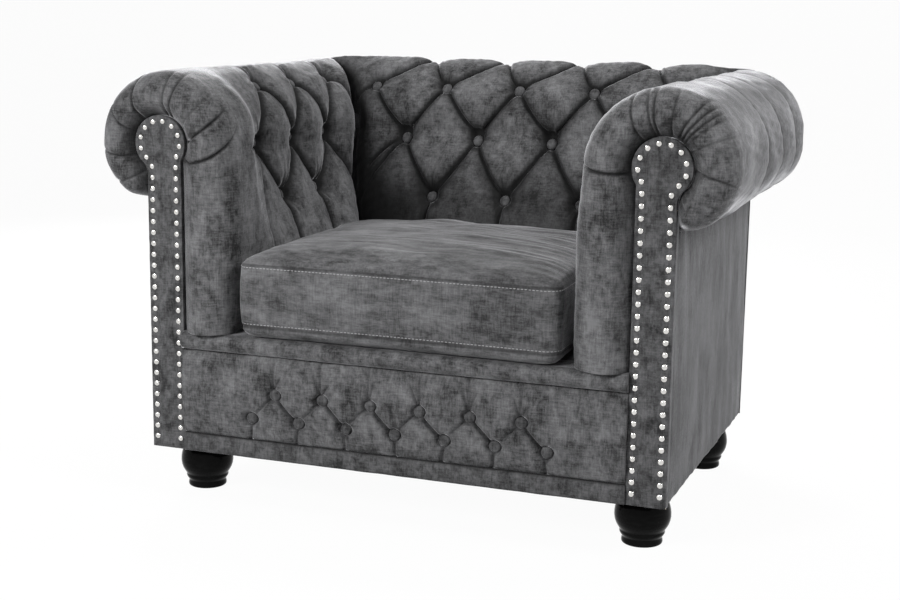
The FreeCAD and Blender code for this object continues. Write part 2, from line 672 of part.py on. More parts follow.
def frame_room():
    """The space that the frame, its webbing, its hessian and the outside panels take from the pads."""
    low = DECK_Z - 10
    past = ARM_OVERHANG + BACK_OVERHANG
    wall = prism_y([(ARM_SKIN_X, low), (ARM_SKIN_X, ARM_POST_TOP), (FRAME_X, ARM_POST_TOP), (FRAME_X, PAD_FOOT_Z),
                    (STEM_OUT_X + past, PAD_FOOT_Z), (STEM_OUT_X + past, low)], WOOD_Y, BODY_DEPTH)
    rear_y = BACK_RAIL_Y + BACK_RAIL_T
    front = back_line(WEB_T + HESSIAN_T)
    rear = [(rear_y, BACK_RAIL_TOP), (rear_y, SIDE_COVER_TOP + rear_y - FRAME_BACK_Y),
            (FRAME_BACK_Y + SEAT_GAP, PAD_FOOT_Z), (BODY_DEPTH + past, PAD_FOOT_Z),
            (BODY_DEPTH + past, low), (front[0][0], low)]
    back = prism_x(front + rear, -FRAME_X, FRAME_X)
    under_roll = solid_box(-ROLL_OUT_X, ROLL_OUT_X, BODY_DEPTH, BODY_DEPTH + past, low, PAD_FOOT_Z)
    return [wall.fuse(back).fuse(mirrored(wall)).fuse(under_roll)]


def facing_room():
    """The slot for a facing in the front of its arm pad, flared towards the front."""
    slot = facing_face(0, -2 * ROLL_PROUD).extrude(V(0, WOOD_Y + 2 * ROLL_PROUD, 0))
    flare = [facing_wire(0, 0), facing_wire(0.8 * ROLL_PROUD, -ROLL_PROUD - 1)]
    return [slot, Part.makeLoft(flare, True, True)]


def radial_pleats():
    """The gathers of a roll front, fanned round the head of its facing."""
    cuts = []
    centre = V(HEAD_X, RING_DEPTH - ROLL_PROUD, HEAD_Z)
    for i in range(RADIAL_PLEATS):
        angle = math.radians(RADIAL_START + i * RADIAL_SPAN / (RADIAL_PLEATS - 1))
        away = V(math.cos(angle), 0, math.sin(angle)) * HEAD_R
        cuts.append(pleat(centre + away, centre + away * RADIAL_REACH, TO_FRONT, 0, RADIAL_HALF, RADIAL_H))
    return cuts


def arm_front():
    """The plain front of an arm pad: its end rounded over and gathered round the head of the facing."""
    rings = [arm_outline(0, inset, step - ROLL_PROUD) for inset, step in zip(FRONT_INSETS, FRONT_STEPS)]
    end = Part.makeLoft(rings, True, True).cut(radial_pleats())
    for tool in facing_room():
        end = end.cut(tool)
    bar = arm_bar(0, FRONT_STEPS[-1] - ROLL_PROUD, FRONT_FULL_Y).cut(facing_room()[0])
    lean_in = Part.makeLoft([arm_outline(0, 0, FRONT_FULL_Y), arm_outline(1, 0, TUFT_START_Y)], True, True)
    return end.fuse(bar).fuse(lean_in)


def make_arm_pads():
    rows = arm_buttons()
    cuts = tuft_cuts(rows, V(0, 1, 0), ARM_BUTTON_PITCH)
    foot = V(ARM_IN_X + PLEAT_FOOT_IN, 0, ARM_FLAT_Z - PLEAT_FOOT_DROP)
    cuts.append([pleat(seat, foot + V(0, seat.y, 0), out) for seat, out in rows[0]])
    over_roll = solid_box(ARM_CREST_X - PLEAT_FOOT_IN, ROLL_OUT_X + PIT_R, 0, BACK_OUT_Y, DECK_Z,
                          ARM_CREST_Z + PIT_H)
    cuts.append([fold_ring(lambda inset, y: arm_outline(1, inset, y), seat.y, over_roll)
                 for seat, out in rows[-1]])
    tufted = carve(arm_bar(1, TUFT_START_Y, BACK_OUT_Y), cuts)
    pad = tufted.fuse(arm_front())
    pad = pad.common(mitre_wedge()).cut(frame_room()).cut(corner_waste())
    keep_pair("arm_pad", pad)
    make_buttons("arm_buttons", rows, True)


# Back pad
def back_outline(inset, x):
    """Cross-section of the back pad at x, from the seat up the leaning face, over the roll and under it."""
    i = inset
    under_y = BODY_DEPTH + ROLL_UNDER
    points = [V(x, BACK_IN_Y + i, DECK_Z), V(x, BACK_IN_Y + i, ARM_FLAT_Z),
              V(x, (BACK_IN_Y + BACK_LEAN_Y) / 2 - BACK_HOLLOW + i, (ARM_FLAT_Z + BACK_LEAN_Z) / 2),
              V(x, BACK_LEAN_Y + i, BACK_LEAN_Z),
              V(x, BACK_LEAN_Y + 0.32 * (BACK_CREST_Y - BACK_LEAN_Y) + 0.8 * i,
                BACK_LEAN_Z + 0.7 * (BACK_CREST_Z - BACK_LEAN_Z) - 0.6 * i),
              V(x, BACK_CREST_Y, BACK_CREST_Z - i),
              V(x, BACK_CREST_Y + 0.74 * (BACK_OUT_Y - BACK_CREST_Y) - 0.7 * i,
                BACK_SIDE_Z + 0.69 * (BACK_CREST_Z - BACK_SIDE_Z) - 0.7 * i),
              V(x, BACK_OUT_Y - i, BACK_SIDE_Z),
              V(x, under_y + 0.75 * (BACK_OUT_Y - under_y) - 0.8 * i,
                PAD_FOOT_Z + 0.31 * (BACK_SIDE_Z - PAD_FOOT_Z) + 0.6 * i),
              V(x, under_y - 0.2 * i, PAD_FOOT_Z + ROLL_LIP + i),
              V(x, BODY_DEPTH, PAD_FOOT_Z), V(x, BODY_DEPTH, DECK_Z)]
    return outline_wire(points)


def back_row(count, y, z, tilt, sideways=0):
    inwards, up = tilted(tilt)
    first_x = sideways - (count - 1) / 2 * BACK_BUTTON_PITCH
    return [(V(first_x + i * BACK_BUTTON_PITCH, y, z), V(0, -inwards, up)) for i in range(count)]


def back_buttons():
    """Seats and outward directions of the back buttons, from the lowest row to the one behind the crest."""
    most = int(2 * (STEM_IN_X - BACK_ROW_END) // BACK_BUTTON_PITCH) + 1
    return [back_row(most - 2, BACK_LEAN_Y + BACK_LOW_IN, BACK_LEAN_Z + BACK_LOW_UP, BACK_LOW_TILT),
            back_row(most - 1, BACK_LEAN_Y + BACK_MID_IN, BACK_LEAN_Z + BACK_MID_UP, BACK_MID_TILT),
            back_row(most, BACK_LEAN_Y + BACK_HIGH_IN, BACK_LEAN_Z + BACK_HIGH_UP, BACK_HIGH_TILT),
            back_row(most - 1, BACK_CREST_Y + BACK_TOP_IN, BACK_CREST_Z + BACK_TOP_UP, BACK_TOP_TILT, BACK_TOP_SIDE)]


def make_back_pad():
    pad = Part.Face(back_outline(0, -ROLL_OUT_X)).extrude(V(2 * ROLL_OUT_X, 0, 0))
    rows = back_buttons()
    cuts = tuft_cuts(rows, X_AXIS, BACK_BUTTON_PITCH)
    foot = V(0, BACK_IN_Y + PLEAT_FOOT_IN, ARM_FLAT_Z - PLEAT_FOOT_DROP)
    cuts.append([pleat(seat, foot + V(seat.x, 0, 0), out) for seat, out in rows[0]])
    over_roll = solid_box(-ROLL_OUT_X, ROLL_OUT_X, BACK_CREST_Y, BACK_OUT_Y + PIT_R, DECK_Z,
                          BACK_CREST_Z + PIT_H)
    cuts.append([fold_ring(back_outline, seat.x, over_roll) for seat, out in rows[-1]])
    wedge = mitre_wedge()
    corner = corner_waste()
    cuts.append([wedge, mirrored(wedge)])
    cuts.append(frame_room())
    cuts.append([corner, mirrored(corner)])
    pad = carve(pad, cuts)
    keep("back_pad", pad)
    make_buttons("back_buttons", rows, False)


# Front rail cover
def make_rail_cover():
    band_top = BASE_Z + BAND_H
    pad_top = band_top + RAIL_PAD_H
    mid_z = (band_top + pad_top) / 2
    low_edge = V(0, RAIL_EDGE_IN, band_top)
    high_edge = V(0, RAIL_EDGE_IN, pad_top)
    front = bend(low_edge, V(0, -RAIL_PROUD, mid_z), high_edge, CURVE_SIDES)
    pad = flat([V(0, WOOD_Y, band_top)] + front + [high_edge, V(0, WOOD_Y, pad_top)]).extrude(V(2 * STEM_IN_X, 0, 0))
    pad.translate(V(-STEM_IN_X, 0, 0))
    count = int(2 * (STEM_IN_X - RAIL_ROW_END) // RAIL_BUTTON_PITCH) + 1
    low = [V((i - (count - 1) / 2) * RAIL_BUTTON_PITCH, RAIL_SEAT_Y, RAIL_ROW_LOW) for i in range(count)]
    high = [V((i - count / 2 + 1) * RAIL_BUTTON_PITCH, RAIL_SEAT_Y, RAIL_ROW_HIGH) for i in range(count - 1)]
    shape = {"lift": RAIL_PLEAT_LIFT, "half": RAIL_PLEAT_HALF, "high": RAIL_PLEAT_H}
    cuts = [[pit(seat, TO_FRONT, RAIL_PIT_R, RAIL_PIT_H) for seat in low + high]]
    for way in (1, -1):
        cuts.append([pleat(a, b, TO_FRONT, **shape) for a in low for b in high
                     if 0 < way * (b.x - a.x) < 0.6 * RAIL_BUTTON_PITCH])
    cuts.append([pleat(a, V(a.x, a.y, pad_top + 1), TO_FRONT, **shape) for a in high])
    cuts.append([pleat(a, V(a.x, a.y, band_top - 1), TO_FRONT, **shape) for a in low])
    keep("rail_pad", carve(pad, cuts))
    make_buttons("rail_buttons", [[(seat, TO_FRONT) for seat in low + high]], False)

    band = solid_box(-STEM_IN_X, STEM_IN_X, -BAND_PROUD, WOOD_Y, BASE_Z, band_top)
    edges = [e for e in band.Edges if abs(e.CenterOfMass.y + BAND_PROUD) < FIT and e.Length > STEM_IN_X]
    keep("lower_band", band.makeFillet(0.9 * BAND_PROUD, edges))

    seat_z = RAIL_TOP_Z + WEB_T
    low_edge = V(0, -LIP_EDGE_LOW, pad_top)
    high_edge = V(0, -LIP_EDGE_HIGH, DECK_Z)
    front = bend(low_edge, V(0, -LIP_PROUD, (pad_top + DECK_Z) / 2), high_edge, CURVE_SIDES)
    lip = flat([V(0, RAIL_BACK_Y, seat_z), V(0, WOOD_Y, seat_z), V(0, WOOD_Y, pad_top)] + front
               + [high_edge, V(0, RAIL_BACK_Y, DECK_Z)]).extrude(V(2 * STEM_IN_X, 0, 0))
    lip.translate(V(-STEM_IN_X, 0, 0))
    post = solid_box(POST_IN_X, STEM_IN_X, WOOD_Y, RAIL_BACK_Y, RAIL_TOP_Z, DECK_Z)
    keep("seat_front_roll", lip.cut([post, mirrored(post)]))


# Seat cushion
def cushion_ring(inset, z):
    """Plan outline of the cushion at z: soft corners, and sides drawn in between them."""
    half = CUSHION_HALF_W - inset
    y0 = CUSHION_FRONT + inset
    y1 = CUSHION_FRONT + CUSHION_D - inset
    r = CUSHION_CORNER - min(inset, 0.5 * CUSHION_CORNER)
    k = r * (1 - math.sqrt(0.5))
    d = CUSHION_DRAW
    mid_y = (y0 + y1) / 2
    side = bend(V(half, y0 + r, z), V(half - d, mid_y, z), V(half, y1 - r, z), SEAM_SIDES)
    rear = bend(V(half - r, y1, z), V(0, y1 - d, z), V(-half + r, y1, z), SEAM_SIDES)
    corner = bend(V(half, y1 - r, z), V(half - k, y1 - k, z), V(half - r, y1, z), CORNER_SIDES)
    half_ring = side + corner + rear + bend(V(-half + r, y1, z), V(-half + k, y1 - k, z), V(-half, y1 - r, z),
                                            CORNER_SIDES)
    return polygon(half_ring + [V(-p.x, 2 * mid_y - p.y, z) for p in half_ring])


def cushion_shape(inset, straight):
    """The cushion with its crown, all round smaller by inset; straight walls have no rounded belly."""
    base_z = DECK_Z + SEAT_GAP
    low = base_z + CUSHION_SEAM_LOW
    high = low + CUSHION_WALL_H
    rings = [cushion_ring(inset + CUSHION_FOOT_IN, base_z + inset), cushion_ring(inset, low)]
    if not straight:
        rings.append(cushion_ring(inset - CUSHION_BELLY, (low + high) / 2))
    body = Part.makeLoft(rings + [cushion_ring(inset, high)], True, True)
    top = Part.Face(cushion_ring(inset, high)).extrude(V(0, 0, CUSHION_CROWN))
    half = CUSHION_HALF_W + 2
    crown_z = high + CUSHION_CROWN - inset
    y0 = CUSHION_FRONT - 2
    y1 = CUSHION_FRONT + CUSHION_D + 2
    arch = bend(V(-half, y0, high), V(0, y0, crown_z), V(half, y0, high), CROWN_SIDES)
    across = flat(arch + [V(half, y0, high)]).extrude(V(0, y1 - y0, 0))
    arch = bend(V(-half, y0, high), V(-half, (y0 + y1) / 2, crown_z), V(-half, y1, high), CROWN_SIDES)
    deep = flat(arch + [V(-half, y1, high)]).extrude(V(2 * half, 0, 0))
    return body.fuse(top.common(across).common(deep))


def make_cushion():
    skin = cushion_shape(0, False).cut(cushion_shape(CUSHION_SKIN, True))
    mid_z = DECK_Z + SEAT_GAP + CUSHION_SEAM_LOW + CUSHION_WALL_H / 2
    rear_y = CUSHION_FRONT + CUSHION_D
    slot = solid_box(-ZIP_L / 2, ZIP_L / 2, rear_y - 15, rear_y + 15, mid_z - ZIP_W / 2, mid_z + ZIP_W / 2)
    keep("cushion_cover", skin.cut(slot))
    keep("cushion_zip", skin.common(slot))
    keep("cushion_core", cushion_shape(CUSHION_SKIN + SEAT_GAP, True))
    hollow = CUSHION_DRAW * (1 - (ZIP_L / 2 / (CUSHION_HALF_W - CUSHION_CORNER)) ** 2)
    slider_y = rear_y + CUSHION_BELLY - hollow + SEAT_GAP
    slider_x = -ZIP_L / 2 + SLIDER_L
    slider = solid_box(slider_x - SLIDER_L / 2, slider_x + SLIDER_L / 2, slider_y, slider_y + SLIDER_T,
                       mid_z - ZIP_W / 2, mid_z + ZIP_W / 2)
    edges = [e for e in slider.Edges if e.Length > SLIDER_T * 1.5 and e.CenterOfMass.y > slider_y + 1]
    keep("zip_slider", slider.makeFillet(SLIDER_ROUND, edges))


os.makedirs("parts", exist_ok=True)
make_frame()
make_seat_platform()
make_wall_webbing()
make_outside_panels()
make_facings()
make_arm_pads()
make_back_pad()
make_rail_cover()
make_cushion()
write_all()
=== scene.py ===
import math

import bmesh
import bpy
import numpy as np
from mathutils import Matrix, Vector


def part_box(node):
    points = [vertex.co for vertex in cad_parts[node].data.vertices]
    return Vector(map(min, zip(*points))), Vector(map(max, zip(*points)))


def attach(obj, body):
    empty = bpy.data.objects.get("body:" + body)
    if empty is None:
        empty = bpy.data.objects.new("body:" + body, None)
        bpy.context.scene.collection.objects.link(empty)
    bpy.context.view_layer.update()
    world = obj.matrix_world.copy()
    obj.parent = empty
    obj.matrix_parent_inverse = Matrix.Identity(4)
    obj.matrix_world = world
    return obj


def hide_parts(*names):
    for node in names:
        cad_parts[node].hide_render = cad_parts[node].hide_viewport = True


# Deep-buttoned rolled-arm armchair. Lengths are millimetres: x = 0 in the middle of the chair, y = 0 at the
# front of the arm facings, z = 0 on the floor. place() turns them into the model's metres.

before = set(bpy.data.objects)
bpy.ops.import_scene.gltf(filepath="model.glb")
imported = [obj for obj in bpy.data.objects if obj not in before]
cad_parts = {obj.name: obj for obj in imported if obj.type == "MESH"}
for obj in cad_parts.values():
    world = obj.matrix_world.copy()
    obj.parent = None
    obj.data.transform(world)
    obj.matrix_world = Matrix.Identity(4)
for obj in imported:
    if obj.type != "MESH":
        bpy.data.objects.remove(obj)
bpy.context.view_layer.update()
MM = 0.001
FACE_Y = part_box("facing_cover_right")[0].y

# Main sizes, the same as the solids'
STEM_IN_X = 372.0
STEM_OUT_X = 433.0
BODY_DEPTH = 603.0
BASE_Z = 84.0
DECK_Z = 285.0
FLAT_Z = 400.0
FOOT_Z = 495.3
HEAD_X = 409.5
HEAD_Z = 587.0
HEAD_R = 45.0
NECK_Z = 528.0
PROUD = 22.0
CORNER_R = 102.0
CORNER_X = 416.0
CORNER_Y = 603.0
BAND_TOP = 115.0
RAIL_TOP = 255.0

# Mesh step, how much deeper the pads meet in the inner corner, and the back of the front's strips
STEP = 2.4
CORNER_IN = 34.0
STRIP_BACK = -17.6


# Small geometry helpers
def place(points):
    """Millimetres of the face frame to metres of the model."""
    points = np.asarray(points, dtype=float) * MM
    points[..., 1] += FACE_Y
    return points


def unplace(points):
    points = np.array(points, dtype=float)
    points[..., 1] -= FACE_Y
    return points / MM


def smooth(low, high, value):
    """0 below low, 1 above high, and a soft step between."""
    t = np.clip((value - low) / (high - low), 0, 1)
    return t * t * (3 - 2 * t)


def arc_points(a, b, c, count):
    """count points on the circle through a, b and c, from a towards c, without c."""
    (ax, ay), (bx, by), (cx, cy) = a, b, c
    d = 2 * (ax * (by - cy) + bx * (cy - ay) + cx * (ay - by))
    aa, bb, cc = (px * px + py * py for px, py in (a, b, c))
    ox = (aa * (by - cy) + bb * (cy - ay) + cc * (ay - by)) / d
    oy = (aa * (cx - bx) + bb * (ax - cx) + cc * (bx - ax)) / d
    start, via, end = (math.atan2(y - oy, x - ox) for x, y in (a, b, c))
    turn = (end - start) % (2 * math.pi)
    if (via - start) % (2 * math.pi) > turn:
        turn -= 2 * math.pi
    angle = start + turn * np.arange(count) / count
    radius = math.hypot(ax - ox, ay - oy)
    return np.stack([ox + radius * np.cos(angle), oy + radius * np.sin(angle)], 1)


def line_points(a, b, count):
    t = np.arange(count)[:, None] / count
    return np.array(a) * (1 - t) + np.array(b) * t


def path_length(points):
    steps = np.linalg.norm(np.diff(points, axis=0), axis=1)
    return np.concatenate([[0], np.cumsum(steps)])


def even_path(points, count):
    """The same path with count evenly spaced points."""
    points = np.asarray(points, dtype=float)
    s = path_length(points)
    t = np.linspace(0, s[-1], count)
    return np.stack([np.interp(t, s, points[:, k]) for k in range(points.shape[1])], 1)


def waves(p, seed, wavelength, count=10):
    """A smooth random field over points, from a few sine waves of about one wavelength."""
    draw = np.random.default_rng(seed)
    total = np.zeros(p.shape[:-1])
    for _ in range(count):
        direction = draw.normal(size=p.shape[-1])
        direction *= 2 * math.pi / (wavelength * draw.uniform(0.7, 1.5) * np.linalg.norm(direction))
        total += np.sin(p @ direction + draw.uniform(0, 2 * math.pi))
    return total / math.sqrt(count)


def grid_quads(rows, cols, first=0):
    a = first + (np.arange(rows - 1)[:, None] * cols + np.arange(cols - 1)[None, :]).ravel()
    return np.stack([a, a + 1, a + cols + 1, a + cols], 1)


def rim_loop(rows, cols):
    """Rows and columns of the points on a grid's rim, once round."""
    loop = [(i, 0) for i in range(rows)] + [(rows - 1, j) for j in range(1, cols)]
    loop += [(i, cols - 1) for i in range(rows - 2, -1, -1)] + [(0, j) for j in range(cols - 2, 0, -1)]
    return np.array(loop).T


def band(high, low):
    """Faces between two closed rows of points."""
    return np.stack([high, np.roll(high, -1), np.roll(low, -1), low], 1).tolist()


def closed_body(top, levels, bottom):
    """Vertices and faces of a top sheet, rings down its sides and a bottom sheet."""
    rows, cols = top.shape[:2]
    ii, jj = rim_loop(rows, cols)
    rim = ii * cols + jj
    sheet = rows * cols
    last_sheet = sheet + len(levels) * len(rim)
    rings = [sheet + k * len(rim) + np.arange(len(rim)) for k in range(len(levels))]
    rings = [rim] + rings + [last_sheet + rim]
    faces = grid_quads(rows, cols).tolist() + grid_quads(rows, cols, last_sheet).tolist()
    for high, low in zip(rings, rings[1:]):
        faces += band(high, low)
    return np.concatenate([top.reshape(-1, 3)] + levels + [bottom.reshape(-1, 3)]), faces


def round_shares(dx, dy):
    """Places in a square corner, 0 to 1 each way, moved to a round corner."""
    return dx * np.sqrt(np.clip(1 - dy ** 2 / 2, 0, 1)), dy * np.sqrt(np.clip(1 - dx ** 2 / 2, 0, 1))


def new_object(name, data):
    made = bpy.data.objects.new(name, data)
    bpy.context.scene.collection.objects.link(made)
    return made


def make_mesh(name, verts, faces, fold=None, close=True):
    """A smooth, closed mesh object from millimetres; open rims are filled."""
    mesh = bpy.data.meshes.new(name)
    mesh.from_pydata(place(verts).tolist(), [], [list(map(int, f)) for f in faces])
    # fold is painted shade, 0 to 1, stored as the fold attribute that darkens the velvet
    if fold is not None:
        layer = mesh.attributes.new("fold", "FLOAT", "POINT")
        layer.data.foreach_set("value", np.asarray(fold, dtype=np.float32))
    bm = bmesh.new()
    bm.from_mesh(mesh)
    bmesh.ops.remove_doubles(bm, verts=bm.verts, dist=0.02 * MM)
    if close:
        rim = [e for e in bm.edges if e.is_boundary]
        if rim:
            made = bmesh.ops.holes_fill(bm, edges=rim, sides=0)["faces"]
            bmesh.ops.triangulate(bm, faces=made)
    bmesh.ops.recalc_face_normals(bm, faces=bm.faces)
    for face in bm.faces:
        face.smooth = True
    bm.to_mesh(mesh)
    bm.free()
    return new_object(name, mesh)


def outward(grid):
    """Unit normals of a grid of points, rows by columns by 3."""
    du = np.gradient(grid, axis=0)
    dv = np.gradient(grid, axis=1)
    n = np.cross(du, dv)
    return n / np.maximum(np.linalg.norm(n, axis=-1, keepdims=True), 1e-9)


def finish_piece(piece, material, body, nodes=()):
    """Gives a piece its material and its body, and hides the solids it stands for."""
    piece.data.materials.clear()
    piece.data.materials.append(material)
    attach(piece, body)
    if nodes:
        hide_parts(*nodes)
    return piece


def lathe(name, profile, seats, sides):
    """Closed turned copies of a (radius, height) profile, each at (seat, direction)."""
    profile = np.asarray(profile, dtype=float)
    turn = 2 * math.pi * np.arange(sides) / sides
    verts = []
    faces = []
    for seat, out in seats:
        out = Vector(out).normalized()
        basis = np.array(out.to_track_quat("Z", "Y").to_matrix())
        first = len(verts)
        for r, h in profile:
            ring = np.stack([r * np.cos(turn), r * np.sin(turn), np.full(sides, h)], 1)
            verts.extend(ring @ basis.T + np.asarray(seat))
        for k in range(len(profile) - 1):
            for i in range(sides):
                a = first + k * sides + i
                b = first + k * sides + (i + 1) % sides
                faces.append((a, b, b + sides, a + sides))
        faces.append(tuple(range(first + sides - 1, first - 1, -1)))
        faces.append(tuple(range(first + (len(profile) - 1) * sides, first + len(profile) * sides)))
    return make_mesh(name, verts, faces, close=False)


def studs(node):
    """Seat and outward direction of every stud in a CAD node."""
    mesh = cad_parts[node].data
    points = np.array([v.co[:] for v in mesh.vertices])
    keys, inverse = np.unique(np.round(points, 5), axis=0, return_inverse=True)
    inverse = inverse.ravel()
    parent = list(range(len(keys)))

    def root(i):
        while parent[i] != i:
            i = parent[i]
        return i

    for edge in mesh.edges:
        a, b = (root(inverse[v]) for v in edge.vertices)
        parent[max(a, b)] = min(a, b)
    roots = np.array([root(i) for i in range(len(keys))])
    found = []
    for r in sorted(set(roots)):
        part = unplace(keys[roots == r])
        middle = part.mean(0)
        axis = np.linalg.svd(part - middle)[2][-1]
        height = (part - middle) @ axis
        if (height > height.max() - 0.2).sum() > (height < height.min() + 0.2).sum():
            axis, height = -axis, -height
        seat = part[height < height.min() + 0.2].mean(0)
        found.append((seat, axis))
    return found


# Deep buttoning: how wide a bulge is, how far a button pulls, and where the folds end at the seat
BULGE_R = 46.0
PULL = 30.0
SEAT_EDGE = 6.0


def bowed(a, b, bow, count=9):
    """A fold from a to b that bows sideways."""
    a = np.asarray(a, dtype=float)
    b = np.asarray(b, dtype=float)
    t = np.linspace(0, 1, count)[:, None]
    side = np.array([-(b - a)[1], (b - a)[0]])
    side /= max(np.linalg.norm(side), 1e-9)
    return a * (1 - t) + b * t + side * bow * 4 * t * (1 - t)


def fold(a, b, ends, middle, bow=0.0, lap=1, crisp=2.2, wide=BULGE_R):
    """A fold with its depth at both ends and in the middle; lap is the side that the cloth slopes to."""
    path = bowed(a, b, bow)
    return {"path": path, "ends": ends, "middle": middle, "lap": lap, "crisp": crisp, "wide": wide}


def draw_in(u, v, folds, pits=(), floor=11.5, wide=44.0):
    """The cloth lies on the full shape and is drawn in along folds and at the buttons' pits.

    Gives its depth below the full shape at (u, v), and how near each point is to a crease, which becomes
    painted shade.
    """
    shape = u.shape
    p = np.stack([u.ravel(), v.ravel()], 1)
    depth = np.zeros(len(p))
    for (a, b), deep in pits:
        r = np.hypot(p[:, 0] - a, (p[:, 1] - b) * 1.12)
        x = np.clip((r - floor) / wide, 0, 1)
        value = np.where(r < floor, deep, deep * (1 - np.sqrt(np.clip(1 - (1 - x) ** 2, 0, 1))))
        depth = (depth ** 4 + value ** 4) ** 0.25
    lips = np.zeros(len(p))
    crease_shade = np.zeros(len(p))
    for f in folds:
        path = f["path"]
        reach = 1.35 * f["wide"]
        inside = np.all((p > path.min(0) - reach) & (p < path.max(0) + reach), axis=1)
        q = p[inside]
        if len(q) == 0:
            continue
        s = path_length(path)
        best = np.full(len(q), 1e9)
        along = np.zeros(len(q))
        side = np.zeros(len(q))
        for k in range(len(path) - 1):
            a = path[k]
            run = path[k + 1] - a
            length = np.linalg.norm(run)
            t = np.clip((q - a) @ run / length ** 2, 0, 1)
            gap = q - a - t[:, None] * run
            d = np.linalg.norm(gap, axis=1)
            closer = d < best
            best = np.where(closer, d, best)
            along = np.where(closer, s[k] + t * length, along)
            side = np.where(closer, np.sign(run[0] * gap[:, 1] - run[1] * gap[:, 0]), side)
        start, end = f["ends"]
        deep = f["middle"] + (start - f["middle"]) * np.exp(-along / PULL)
        deep += (end - f["middle"]) * np.exp(-(s[-1] - along) / PULL)
        span = f["wide"] * np.where(side * f["lap"] > 0, 1.4, 0.65)
        x = np.clip(best / span, 0, 1)
        value = deep * (1 - np.sqrt(np.clip(1 - (1 - x) ** 2, 0, 1)))
        value += f["crisp"] * np.exp(-best / 2.5) * np.clip(deep / 8, 0, 1)
        depth[inside] = (depth[inside] ** 4 + np.clip(value, 0, None) ** 4) ** 0.25
        rim = np.where(side * f["lap"] < 0, 1.0, 0.25) * np.exp(-((best - 6.5) / 3.8) ** 2)
        lips[inside] = np.maximum(lips[inside], 1.6 * rim * np.clip(deep / 10, 0, 1))
        # Painted shade next to each crease, stronger where the fold is deeper
        crease_shade[inside] = np.maximum(crease_shade[inside], np.exp(-best / 5) * np.clip(deep / 12, 0, 1))
    return (depth - lips).reshape(shape), crease_shade.reshape(shape)


def gathers(u, v, points, size=0.9, reach=34.0, spokes=11):
    """Fine wrinkles fanned round the buttons."""
    total = np.zeros(u.shape)
    for k, (a, b) in enumerate(points):
        du = u - a
        dv = v - b
        r = np.hypot(du, dv)
        angle = np.arctan2(dv, du)
        ripple = np.sin(spokes * angle + 1.3 * k + 2 * np.sin(2 * angle + k) + r / 16)
        upright = np.abs(np.cos(angle)) ** 3
        fan = np.abs(np.sin(0.5 * (spokes + 9) * angle + 1.7 * k + 1.2 * np.sin(angle * 3 + k))) ** 0.5
        total += size * ripple * np.exp(-r / reach) * smooth(9, 18, r)
        total += 2.2 * size * (1 - fan) * upright * np.exp(-((r - 24) / (0.45 * reach)) ** 2)
    return total


def settle(depth, dip):
    """The drawn-in cloth, pulled down further by a dip."""
    return (np.clip(depth, 0, None) ** 3 + dip ** 3) ** (1 / 3) + np.minimum(depth, 0)


def painted_crease_shade(crease_shade, depth, mitre, inside, added_shade=0):
    """Painted shade, 0 to 1: darker in creases and hollows, but not at the outer corners."""
    outer = smooth(-70, -12, mitre) * (1 - inside[:, None])
    hollow = np.clip((depth - 2) / 15, 0, 1) * (1 - outer)
    return np.clip(0.75 * crease_shade + 0.85 * hollow + added_shade, 0, 1)


# Materials
def new_material(name):
    material = bpy.data.materials.new(name)
    material.use_nodes = True
    nodes = material.node_tree.nodes
    return material, nodes, material.node_tree.links, nodes["Principled BSDF"]


def noise(nodes, links, coord, stretch, detail=3.0, distortion=0.0, rough=0.5):
    mapping = nodes.new("ShaderNodeMapping")
    mapping.inputs["Scale"].default_value = stretch
    links.new(coord, mapping.inputs["Vector"])
    texture = nodes.new("ShaderNodeTexNoise")
    texture.inputs["Scale"].default_value = 1.0
    texture.inputs["Detail"].default_value = detail
    texture.inputs["Roughness"].default_value = rough
    texture.inputs["Distortion"].default_value = distortion
    links.new(mapping.outputs["Vector"], texture.inputs["Vector"])
    return texture.outputs["Fac"]


def math_node(nodes, links, kind, a, b):
    node = nodes.new("ShaderNodeMath")
    node.operation = kind
    for socket, value in zip(node.inputs, (a, b)):
        if isinstance(value, (int, float)):
            socket.default_value = value
        else:
            links.new(value, socket)
    return node.outputs[0]


def ramp(nodes, links, value, stops):
    node = nodes.new("ShaderNodeValToRGB")
    elements = node.color_ramp.elements
    while len(elements) < len(stops):
        elements.new(0.5)
    for element, (place_at, grey) in zip(elements, stops):
        colour = grey if isinstance(grey, tuple) else (grey, grey, grey * 1.03)
        element.position = place_at
        element.color = (*colour, 1)
    links.new(value, node.inputs["Fac"])
    return node.outputs["Color"]


def bump(nodes, links, shader, height, distance, strength=1.0, before=None):
    node = nodes.new("ShaderNodeBump")
    node.inputs["Distance"].default_value = distance
    node.inputs["Strength"].default_value = strength
    links.new(height, node.inputs["Height"])
    if before is not None:
        links.new(before, node.inputs["Normal"])
    links.new(node.outputs["Normal"], shader.inputs["Normal"])
    return node.outputs["Normal"]


